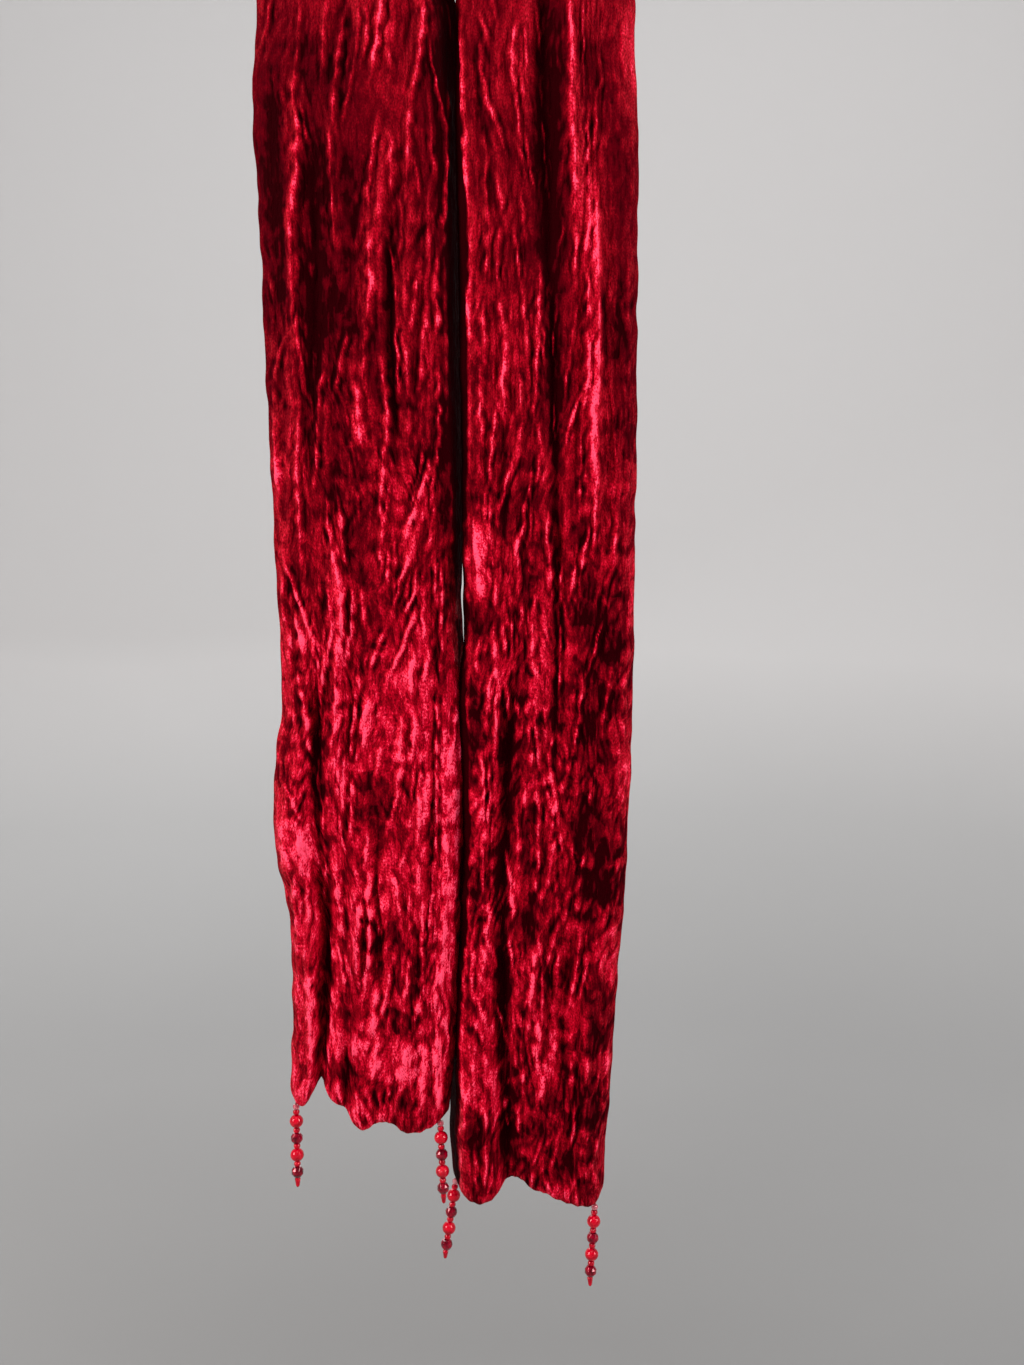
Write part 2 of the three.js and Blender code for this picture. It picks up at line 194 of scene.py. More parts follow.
GATHERS = table(
    "left right across deep wide",
    (250, 230, -0.8, -3.6, 9),
    (190, 260, -0.44, 3.4, 9),
    (270, 200, -0.12, -4.4, 9),
    (230, 180, 0.22, 3.6, 8),
    (170, 240, 0.54, -4.2, 8),
    (210, 210, 0.86, 2.6, 7),
)
LEFT_FOLDS = table(
    "top bottom across_top across_bottom deep wide",
    (262, 476, -0.64, -0.73, 3.0, 7),
    (270, 430, -0.38, -0.5, -2.8, 7),
    (240, 360, -0.22, -0.18, 2.2, 6),
    (265, 390, 0.34, 0.1, 3.2, 7),
    (290, 476, 0.3, 0.34, -2.8, 6),
    (280, 415, 0.58, 0.44, 2.6, 6),
    (150, 275, 0.84, 0.92, -6.5, 9),
    (170, 268, 0.7, 0.6, 3.0, 6),
    (430, 515, 0.78, 0.38, 2.6, 6),
    (395, 475, -0.38, -0.42, 2.2, 6),
    (480, 665, -0.33, -0.37, 3.6, 7),
    (500, 590, -0.84, -0.8, -2.2, 6),
    (570, 690, -0.62, -0.5, -4.5, 7),
    (650, 850, -0.5, -0.66, -7.5, 8),
    (605, 700, -0.86, -0.84, 3.2, 12),
    (600, 710, 0.55, 0.52, 3.0, 6),
    (620, 765, 0.12, 0.0, -3.0, 7),
    (655, 770, -0.16, -0.3, 2.8, 6),
    (700, 840, 0.38, 0.42, 2.8, 8),
    (505, 700, 0.72, 0.68, -2.4, 6),
    (770, 840, -0.26, -0.3, -3.2, 7),
)
RIGHT_FOLDS = table(
    "top bottom across_top across_bottom deep wide",
    (110, 380, 0.04, 0.0, -6.5, 12),
    (320, 640, 0.0, -0.16, -4.6, 8),
    (550, 730, 0.42, 0.46, -6.0, 9),
    (690, 900, 0.47, 0.2, -8.0, 9),
    (170, 355, -0.26, -0.36, 4.0, 7),
    (295, 515, -0.54, -0.5, 3.6, 7),
    (235, 330, 0.7, 0.46, 2.6, 6),
    (465, 550, 0.8, 0.78, 2.6, 6),
    (555, 660, 0.16, 0.2, 2.6, 6),
    (600, 700, 0.8, 0.8, 2.8, 6),
    (675, 800, 0.03, -0.02, 3.2, 7),
    (695, 830, -0.38, -0.37, -2.8, 7),
    (715, 885, -0.62, -0.78, 2.8, 8),
    (750, 885, 0.8, 0.84, 2.6, 7),
    (400, 515, 0.5, 0.54, -2.4, 6),
)
# The inner edges roll behind each other, the left one's above and the right one's below, so that
# the tails part only between: how far each reaches past its line, at heights below the origin.
# Behind, where they overlap, the two edges run into each other a little.
LEFT_TUCK = table("drop tuck", (180, 0), (190, 3.6), (205, 4.5), (466, 4.5), (502, 1.3), (820, 0.7))
RIGHT_TUCK = table("drop tuck", (180, 0), (530, 0.2), (565, 5), (765, 5), (790, 1.5), (870, 0))
# All edges ripple a little, the inner ones half as much
RIPPLE = 0.8
RIPPLE_LENGTH = 13.0
# The inner edges roll back into shade, painted almost black, and beside it the cloth catches the
# light, a painted highlight over this half width
RIM = 1.3
# How dark that painted shade is and how wide, and how much lighter or darker the whole tail is,
# at heights below the origin
LEFT_SHADE = table(
    "drop dark wide lift",
    (180, 2.0, 3, 0),
    (230, 2.4, 3.5, -0.3),
    (270, 2.5, 5, -0.35),
    (420, 2.5, 5.5, -0.3),
    (475, 2.0, 5, -0.1),
    (500, 0.4, 3, 0.1),
    (600, 0.8, 3, 0.3),
    (700, 1.6, 4, 0.35),
    (790, 1.6, 4, 0.4),
    (820, 0.8, 3, 0.4),
)
RIGHT_SHADE = table(
    "drop dark wide lift",
    (180, 0.2, 2, 0),
    (215, 2.4, 2.5, 0),
    (260, 2.5, 4.5, -0.05),
    (330, 2.5, 5, -0.15),
    (400, 2.4, 3.5, -0.2),
    (460, 1.5, 2.5, -0.15),
    (520, 0.6, 3, -0.15),
    (570, 2.4, 5, -0.2),
    (640, 2.5, 6.5, -0.25),
    (780, 2.5, 6.5, -0.25),
    (840, 2.2, 5, -0.2),
    (890, 1.2, 3.5, -0.1),
)
steps = np.hypot(np.diff(LOOP_LINE["x"]), np.diff(LOOP_LINE["z"]))
LOOP_LINE["along"] = np.concatenate([[0], np.cumsum(steps)])
LOOP_LINE["along"] -= LOOP_LINE["along"][LOOP_LINE["x"] == 0]
ARMS = {
    LEFT: dict(
        outline=LEFT_OUTLINE, hem=LEFT_HEM, roll=LEFT_ROLL, folds=LEFT_FOLDS, tuck=LEFT_TUCK,
        shade=LEFT_SHADE,
    ),
    RIGHT: dict(
        outline=RIGHT_OUTLINE, hem=RIGHT_HEM, roll=RIGHT_ROLL, folds=RIGHT_FOLDS, tuck=RIGHT_TUCK,
        shade=RIGHT_SHADE,
    ),
}
ARMS[LEFT]["start"] = -LOOP_LINE["along"][1]
ARMS[RIGHT]["start"] = LOOP_LINE["along"][-2]
for arm in ARMS.values():
    arm["end"] = arm["start"] + arm["hem"]["drop"].mean() - JUNCTION_DROP


def smooth(rows, key, column, at):
    """The value of a table's column where its key is at, on a smooth curve through its rows."""
    keys, values = rows[key], rows[column]
    if keys[-1] < keys[0]:
        keys, values = keys[::-1], values[::-1]
    slopes = np.empty_like(values)
    slopes[1:-1] = (values[2:] - values[:-2]) / (keys[2:] - keys[:-2])
    slopes[0] = (values[1] - values[0]) / (keys[1] - keys[0])
    slopes[-1] = (values[-1] - values[-2]) / (keys[-1] - keys[-2])
    at = np.clip(at, keys[0], keys[-1])
    i = np.clip(np.searchsorted(keys, at, side="right") - 1, 0, len(keys) - 2)
    span = keys[i + 1] - keys[i]
    t = (at - keys[i]) / span
    return (
        values[i] * (1 + 2 * t) * (1 - t) ** 2
        + values[i + 1] * t * t * (3 - 2 * t)
        + span * (slopes[i] * t * (1 - t) ** 2 - slopes[i + 1] * t * t * (1 - t))
    )


def smoothstep(t):
    """0 below 0 and 1 above 1, with an easy curve between."""
    t = np.clip(t, 0, 1)
    return t * t * (3 - 2 * t)


def fade(along, top, bottom):
    """1 in the middle of a fold's length, easing to 0 at its two ends."""
    ease = min((bottom - top) * FADE_SHARE, FADE_MOST)
    return smoothstep((along - top) / ease) * smoothstep((bottom - along) / ease)


def ridge(distance, half_width):
    """A soft ridge of height 1, as wide as twice its half width."""
    return (1 + np.cos(math.pi * np.minimum(np.abs(distance / half_width), 1))) / 2


def lerp(a, b, t):
    """The value a share t of the way from a to b."""
    return a + (b - a) * t


def unit(vectors):
    """The same directions at length 1."""
    return vectors / np.linalg.norm(vectors, axis=-1, keepdims=True)


rng = np.random.default_rng(21)
SPINS = rng.uniform(0, 2 * math.pi, 512)
ORDER = rng.permutation(512)


def noise(x, z):
    """Seeded gradient noise, about -1 to 1, with a hill or hollow to each unit."""
    column, row = np.floor(x).astype(int), np.floor(z).astype(int)
    x, z = x - column, z - row

    def corner(i, j):
        spin = SPINS[(ORDER[(column + i) % 512] + row + j) % 512]
        return np.cos(spin) * (x - i) + np.sin(spin) * (z - j)

    ease_x, ease_z = (t * t * t * (t * (6 * t - 15) + 10) for t in (x, z))
    upper = lerp(corner(0, 0), corner(1, 0), ease_x)
    lower = lerp(corner(0, 1), corner(1, 1), ease_x)
    return 1.5 * lerp(upper, lower, ease_z)


def fold_depth(side, across, along, half):
    """How far the folds carry the cloth to its outer face."""
    reach = np.abs(along)
    depth = 0
    for row in rows_of(GATHERS):
        strength = fade(along, -row["left"], row["right"])
        depth = depth + row["deep"] * strength * ridge((across - row["across"]) * half, row["wide"])
    for row in rows_of(ARMS[side]["folds"]):
        share = (reach - row["top"]) / (row["bottom"] - row["top"])
        place = lerp(row["across_top"], row["across_bottom"], share)
        strength = fade(reach, row["top"], row["bottom"])
        depth = depth + row["deep"] * strength * ridge((across - place) * half, row["wide"])
    return depth


def cross_bow(side, across, reach, half):
    """The middle of the cloth bows to the front, and its edges roll to the back."""
    roll = ARMS[side]["roll"]
    drop = reach * JUNCTION_DROP / ARMS[side]["start"]
    deep, wide = (
        np.where(across > 0, smooth(roll, "drop", inner, drop), smooth(roll, "drop", outer, drop))
        for inner, outer in (("inner", "outer"), ("inner_wide", "outer_wide"))
    )
    past = np.maximum(wide - (1 - np.abs(across)) * half, 0) / wide
    bow = FORWARD_BOW * smoothstep((drop - BOW_START) / (JUNCTION_DROP - BOW_START))
    return bow * (1 - across**2) - deep * past**2


def tail_middle(side, across, along, worn=True):
    """Points midway between the tail's two layers, and the way to its front. A worn tail has its
    edges tucked and rippled, and the other hangs as smoothly as the solid does."""
    arm = ARMS[side]
    reach = side * along
    share = (reach - arm["start"]) / (arm["end"] - arm["start"])
    hem_x = lerp(arm["hem"]["x"][0], arm["hem"]["x"][-1], (across + 1) / 2)
    drop = lerp(JUNCTION_DROP, smooth(arm["hem"], "x", "drop", hem_x), share)
    outer = smooth(arm["outline"], "drop", "outer", drop) - side * WALL / 2
    inner = smooth(arm["outline"], "drop", "inner", drop) + side * WALL / 2
    half = np.abs(inner - outer) / 2
    if worn:
        inner = inner - side * np.interp(drop, arm["tuck"]["drop"], arm["tuck"]["tuck"])
        ripple = [noise(drop / RIPPLE_LENGTH, 3.5 * side + edge + 0 * drop) for edge in (0, 9)]
        settled = smoothstep((drop - JUNCTION_DROP) / RIPPLE_LENGTH)
        outer = outer + RIPPLE * ripple[0] * settled
        inner = inner + RIPPLE * ripple[1] * settled / 2
    forward = cross_bow(side, across, reach, half) + fold_depth(side, across, along, half)
    points = np.stack([lerp(outer, inner, (across + 1) / 2), -forward, -drop], -1)
    return points, np.array([0.0, -1.0, 0.0])


def loop_middle(across, along):
    """The same over the loop, where along is below 0 on the left arm."""
    step = 0.5
    turn = np.radians(smooth(LOOP_LINE, "along", "turn", along))
    run = [
        smooth(LOOP_LINE, "along", way, along + step)
        - smooth(LOOP_LINE, "along", way, along - step)
        for way in "xz"
    ]
    flat = np.zeros_like(along)
    inward = np.stack([np.cos(turn), -np.sin(turn), flat], -1)
    outward = unit(np.cross(inward, np.stack([run[0], flat, run[1]], -1)))
    half = smooth(LOOP_LINE, "along", "half", along) - WALL / 2
    depth = [
        cross_bow(side, across, np.abs(along), half) + fold_depth(side, across, along, half)
        for side in (LEFT, RIGHT)
    ]
    depth = np.where(along < 0, depth[0], depth[1])
    line = [smooth(LOOP_LINE, "along", "x", along), flat, smooth(LOOP_LINE, "along", "z", along)]
    points = (
        np.stack(line, -1) + inward * (across * half)[..., None] + outward * depth[..., None]
    )
    return points, outward


# Crinkles: the fabric is twisted wet and heat-set, which leaves meandering ridges a few millimetres
# apart that part and join again, with sharp valleys between them. They are long and calm near the
# top, and shorter where the cloth is crushed, towards the hems.
# How far a layer stands off the middle of the two, on the whole, at the edges and at the least
LAYER = 1.9
EDGE_HALF = 1.5
LEAST = 1.0
# The crinkles fade out beside the edges over the first length, and within the second one the cloth
# stands off square to itself, where elsewhere it does so straight to the front or back
EDGE_FADE = 5.0
EDGE_BAND = 15.0
# How crushed the cloth is at the first height, where 1 is reached at the second
CALM = 0.35
CALM_DROP, CRUSHED_DROP = 300, 560
CRINKLES = table(
    "wide long calm crushed",
    (9.0, 60, 1.5, 1.4),
    (5.0, 34, 1.3, 1.0),
    (2.7, 18, 0.7, 0.5),
    (4.4, 13, 0.0, 1.9),
)
# How far the crinkles sway to the side, with the distance between turns across and along
SWAYS = table(
    "far wide long start",
    (9.0, 60, 110, 0),
    (3.5, 22, 45, 50),
)
# The valleys are sharp and the tops broad: heights are a power of the noise, less its middle
TOP_POWER = 0.8
TOP_MIDDLE = 0.35


def crush(side, points):
    """How much the cloth is crushed: it is calmer near the top."""
    if not side:
        return np.full_like(points[..., 0], CALM)
    return np.interp(-points[..., 2], (CALM_DROP, CRUSHED_DROP), (CALM, 1.0))


def crinkle(x, along, salt, crushed):
    """Height of the fine crinkles, x millimetres from the middle of the cloth."""
    sway = 0
    for row in rows_of(SWAYS):
        sway = sway + row["far"] * noise(x / row["wide"] + salt, along / row["long"] + row["start"])
    lively = 0.8 + 0.5 * noise(x / 28 + salt, along / 60 + 80)
    height = 0
    for row in rows_of(CRINKLES):
        n = noise((x + sway) / row["wide"] + 7 * salt, along / row["long"] + 11 * salt)
        tall = lerp(row["calm"], row["crushed"], crushed)
        height = height + tall * (np.abs(n) ** TOP_POWER - TOP_MIDDLE)
    return height * lively


def crest(distance, half_width):
    """A crease of height 1, narrow at its top, with a shallow groove along each side."""
    grooves = [ridge(distance + way * 1.2 * half_width, 0.6 * half_width) for way in (-1, 1)]
    broad, narrow = ridge(distance, half_width), ridge(distance, 0.42 * half_width)
    return 0.6 * broad + 0.4 * narrow - 0.3 * sum(grooves)


def creases(rows, x, drop):
    """Height of the creases placed one by one."""
    height = 0
    for i, row in enumerate(rows_of(rows)):
        share = np.clip((drop - row["top"]) / (row["bottom"] - row["top"]), 0, 1)
        bend = row["x_mid"] - (row["x_top"] + row["x_bottom"]) / 2
        place = lerp(row["x_top"], row["x_bottom"], share) + bend * np.sin(math.pi * share)
        flat = 0 * drop
        place = place + 0.9 * noise(drop / 10, flat + 1.7 * i)
        uneven = 0.9 + 0.5 * noise(drop / 8, flat + 2.3 * i)
        strength = fade(drop, row["top"], row["bottom"]) * uneven
        width = row["wide"] * (0.85 + 0.3 * noise(drop / 9, flat + 3.3 * i))
        height = height + row["deep"] * strength * crest(x - place, width)
    return height


# The creases of each tail, read off the photo: where each starts and ends below the origin, where
# it lies at its top, middle and bottom, its height (below 0 for a trough) and its half width
LEFT_FRONT = table(
    "top bottom x_top x_mid x_bottom deep wide",
    (184, 214, -95, -97, -99, 1.6, 2.5),
    (180, 250, -79, -82, -87, 1.6, 3.0),
    (226, 300, -87, -83, -86, 3.0, 4.2),
    (238, 266, -82, -79, -77, 1.6, 2.0),
    (272, 350, -85, -87, -87, 2.3, 4.5),
    (330, 402, -87, -84, -80, 2.2, 3.2),
    (180, 244, -66, -68, -71, 1.2, 2.5),
    (180, 268, -54, -61, -65, 2.3, 3.6),
    (240, 330, -65, -65, -62, 1.8, 2.6),
    (186, 226, -46, -45, -48, 2.0, 3.2),
    (205, 262, -50, -54, -61, 1.5, 2.4),
    (180, 240, -35, -40, -44, 2.8, 3.8),
    (214, 236, -33, -33, -34, 1.3, 2.6),
    (180, 250, -14, -17, -24, 2.6, 3.0),
    (232, 300, -24, -24, -27, 2.6, 3.2),
    (205, 262, -12, -10, -4, 1.7, 2.0),
    (230, 290, -14, -12, -10, 2.0, 3.0),
    (244, 330, -5, -6, -9, 2.2, 2.4),
    (240, 310, -37, -44, -46, 2.4, 3.4),
    (290, 372, -47, -45, -48, 2.9, 4.2),
    (352, 396, -48, -49, -50, 1.9, 3.2),
    (252, 300, -34, -33, -33, 1.7, 2.8),
    (264, 296, -21, -19, -18, 1.4, 2.0),
    (284, 330, -29, -28, -31, 1.5, 2.4),
    (280, 334, -13, -14, -13, 1.8, 2.6),
    (300, 360, -38, -32, -31, 2.2, 3.0),
    (340, 404, -31, -31, -30, 2.6, 2.6),
    (318, 368, -18, -21, -25, 2.6, 3.2),
    (340, 412, -13, -18, -18, 2.2, 2.8),
    (310, 380, -10, -10, -10, 2.4, 2.6),
    (366, 448, -10, -9, -11, 2.2, 2.0),
    (318, 344, -78, -77, -75, 1.6, 2.6),
    (345, 372, -69, -68, -67, 1.3, 2.4),
    (352, 402, -56, -61, -67, 1.9, 2.8),
    (364, 446, -69, -74, -75, 2.1, 2.8),
    (384, 430, -53, -53, -50, 2.7, 4.0),
    (368, 432, -41, -37, -37, 2.6, 3.2),
    (355, 415, -89, -97, -98, 1.9, 3.0),
    (396, 462, -98, -98, -96, 2.5, 3.6),
    (386, 440, -83, -85, -87, 1.8, 3.0),
    (422, 484, -87, -86, -85, 2.7, 3.2),
    (408, 456, -78, -76, -79, 2.0, 2.6),
    (362, 404, -28, -25, -27, 1.6, 3.0),
    (398, 420, -25, -25, -26, 1.6, 3.0),
    (414, 470, -37, -40, -41, 2.4, 2.8),
    (436, 508, -36, -40, -42, 2.0, 3.0),
    (418, 466, -16, -21, -26, 2.2, 2.2),
    (425, 486, -12, -22, -32, 3.0, 3.4),
    (422, 468, -10, -12, -12, 1.8, 1.8),
    (452, 488, -11, -14, -18, 2.3, 4.0),
    (440, 474, -66, -63, -61, 1.8, 2.6),
    (440, 500, -70, -69, -66, 2.0, 2.4),
    (478, 545, -67, -63, -64, 3.2, 4.0),
    (455, 494, -65, -62, -58, 1.9, 2.2),
    (445, 464, -54, -53, -53, 1.5, 2.2),
    (474, 500, -37, -37, -37, 1.9, 3.0),
    (466, 512, -33, -34, -34, 1.5, 1.8),
    (474, 522, -23, -31, -38, 2.5, 2.8),
    (484, 518, -21, -23, -30, 2.2, 2.4),
    (480, 516, -12, -11, -13, 2.0, 2.4),
    (494, 536, -17, -18, -17, 2.0, 2.2),
    (476, 548, -9, -8, -9, 2.4, 1.9),
    (508, 552, -21, -29, -39, 2.8, 2.8),
    (516, 552, -38, -44, -50, 2.3, 2.6),
    (526, 566, -20, -25, -25, 2.6, 4.6),
    (526, 554, -13, -16, -19, 1.9, 2.6),
    (496, 526, -52, -51, -49, 2.3, 3.2),
    (490, 548, -57, -58, -63, 2.4, 3.2),
    (492, 552, -72, -69, -74, 2.3, 3.2),
    (474, 534, -97, -88, -77, 2.6, 2.8),
    (484, 524, -97, -96, -96, 2.2, 3.2),
    (508, 546, -90, -87, -82, 2.6, 3.6),
    (536, 574, -74, -74, -78, 2.0, 2.6),
    (534, 602, -68, -67, -72, 2.9, 3.8),
    (540, 602, -90, -84, -82, 2.5, 3.0),
    (550, 600, -55, -58, -61, 2.1, 2.6),
    (554, 594, -48, -51, -52, 2.7, 4.6),
    (576, 622, -65, -66, -69, 2.0, 3.0),
    (592, 636, -62, -64, -65, 2.5, 4.4),
    (594, 648, -58, -59, -61, 2.5, 3.0),
    (580, 614, -42, -44, -47, 1.7, 2.4),
    (566, 600, -30, -31, -32, 2.5, 4.0),
    (566, 602, -22, -24, -26, 2.5, 4.4),
    (546, 620, -10, -11, -12, 2.4, 2.2),
    (600, 668, -11, -12, -14, 2.2, 2.6),
    (590, 640, -29, -34, -39, 2.4, 2.8),
    (582, 646, -19, -21, -21, 1.9, 2.0),
    (592, 626, -23, -25, -27, 1.6, 2.0),
    (618, 664, -25, -28, -33, 2.0, 3.4),
    (560, 612, -1, -3, -7, 1.7, 2.2),
    (570, 646, 0, 2, 4, 1.9, 2.0),
    (626, 676, -8, -6, -6, 2.3, 3.0),
    (606, 634, -98, -92, -87, 1.2, 2.2),
    (600, 646, -79, -76, -76, 2.1, 2.6),
    (632, 686, -76, -75, -77, 2.2, 3.2),
    (628, 672, -90, -88, -88, 2.6, 5.5),
    (624, 650, -66, -65, -63, 2.0, 3.4),
    (632, 660, -50, -51, -53, 1.6, 2.0),
    (652, 704, -93, -92, -90, 2.3, 3.8),
    (660, 694, -86, -85, -83, 1.8, 2.4),
    (652, 704, -69, -67, -64, 2.4, 3.4),
    (652, 734, -51, -50, -51, 2.5, 2.8),
    (655, 704, -46, -44, -46, 2.0, 2.6),
    (666, 736, -53, -57, -56, 2.6, 2.8),
    (696, 738, -50, -52, -55, 2.0, 2.4),
    (656, 700, -37, -33, -32, 2.1, 4.0),
    (664, 704, -25, -28, -24, 1.8, 2.8),
    (664, 736, -19, -20, -20, 2.5, 2.4),
    (652, 714, -14, -15, -18, 1.7, 1.8),
    (664, 752, -7, -9, -15, 1.9, 4.5),
    (690, 734, -2, -4, -7, 1.5, 2.6),
    (688, 722, -75, -73, -72, 2.0, 2.8),
    (700, 732, -69, -66, -64, 1.7, 2.0),
    (704, 792, -86, -85, -86, 2.5, 4.2),
    (730, 790, -74, -74, -77, 2.3, 3.4),
    (748, 792, -92, -95, -96, 1.8, 2.6),
    (698, 756, -35, -40, -46, 2.2, 2.8),
    (704, 742, -26, -29, -31, 1.7, 2.4),
    (720, 764, -47, -48, -51, 2.4, 4.0),
    (724, 756, -19, -23, -27, 2.1, 3.0),
    (748, 778, -59, -61, -60, 2.0, 3.6),
    (746, 790, -44, -47, -51, 2.4, 4.0),
    (756, 806, -29, -33, -37, 2.3, 4.2),
    (756, 818, -20, -21, -24, 2.4, 3.6),
    (742, 812, -11, -13, -12, 2.3, 3.4),
    (780, 812, -45, -45, -45, 2.4, 3.2),
    (784, 814, -59, -58, -57, 2.4, 4.2),
    (776, 804, -70, -69, -67, 1.8, 3.4),
    (200, 360, -96, -96, -95, -0.9, 6.0),
    (238, 410, -74, -76, -79, -1.1, 5.0),
    (262, 350, -53, -53, -54, -1.0, 4.0),
    (300, 380, -42, -42, -43, -1.0, 2.4),
    (540, 640, -79, -77, -74, -1.3, 3.2),
    (596, 660, -50, -48, -44, -1.1, 7.0),
    (706, 760, -60, -60, -62, -1.2, 5.0),
    (746, 772, -30, -31, -32, -1.1, 6.0),
    (740, 770, -24, -24, -25, -1.0, 3.0),
)
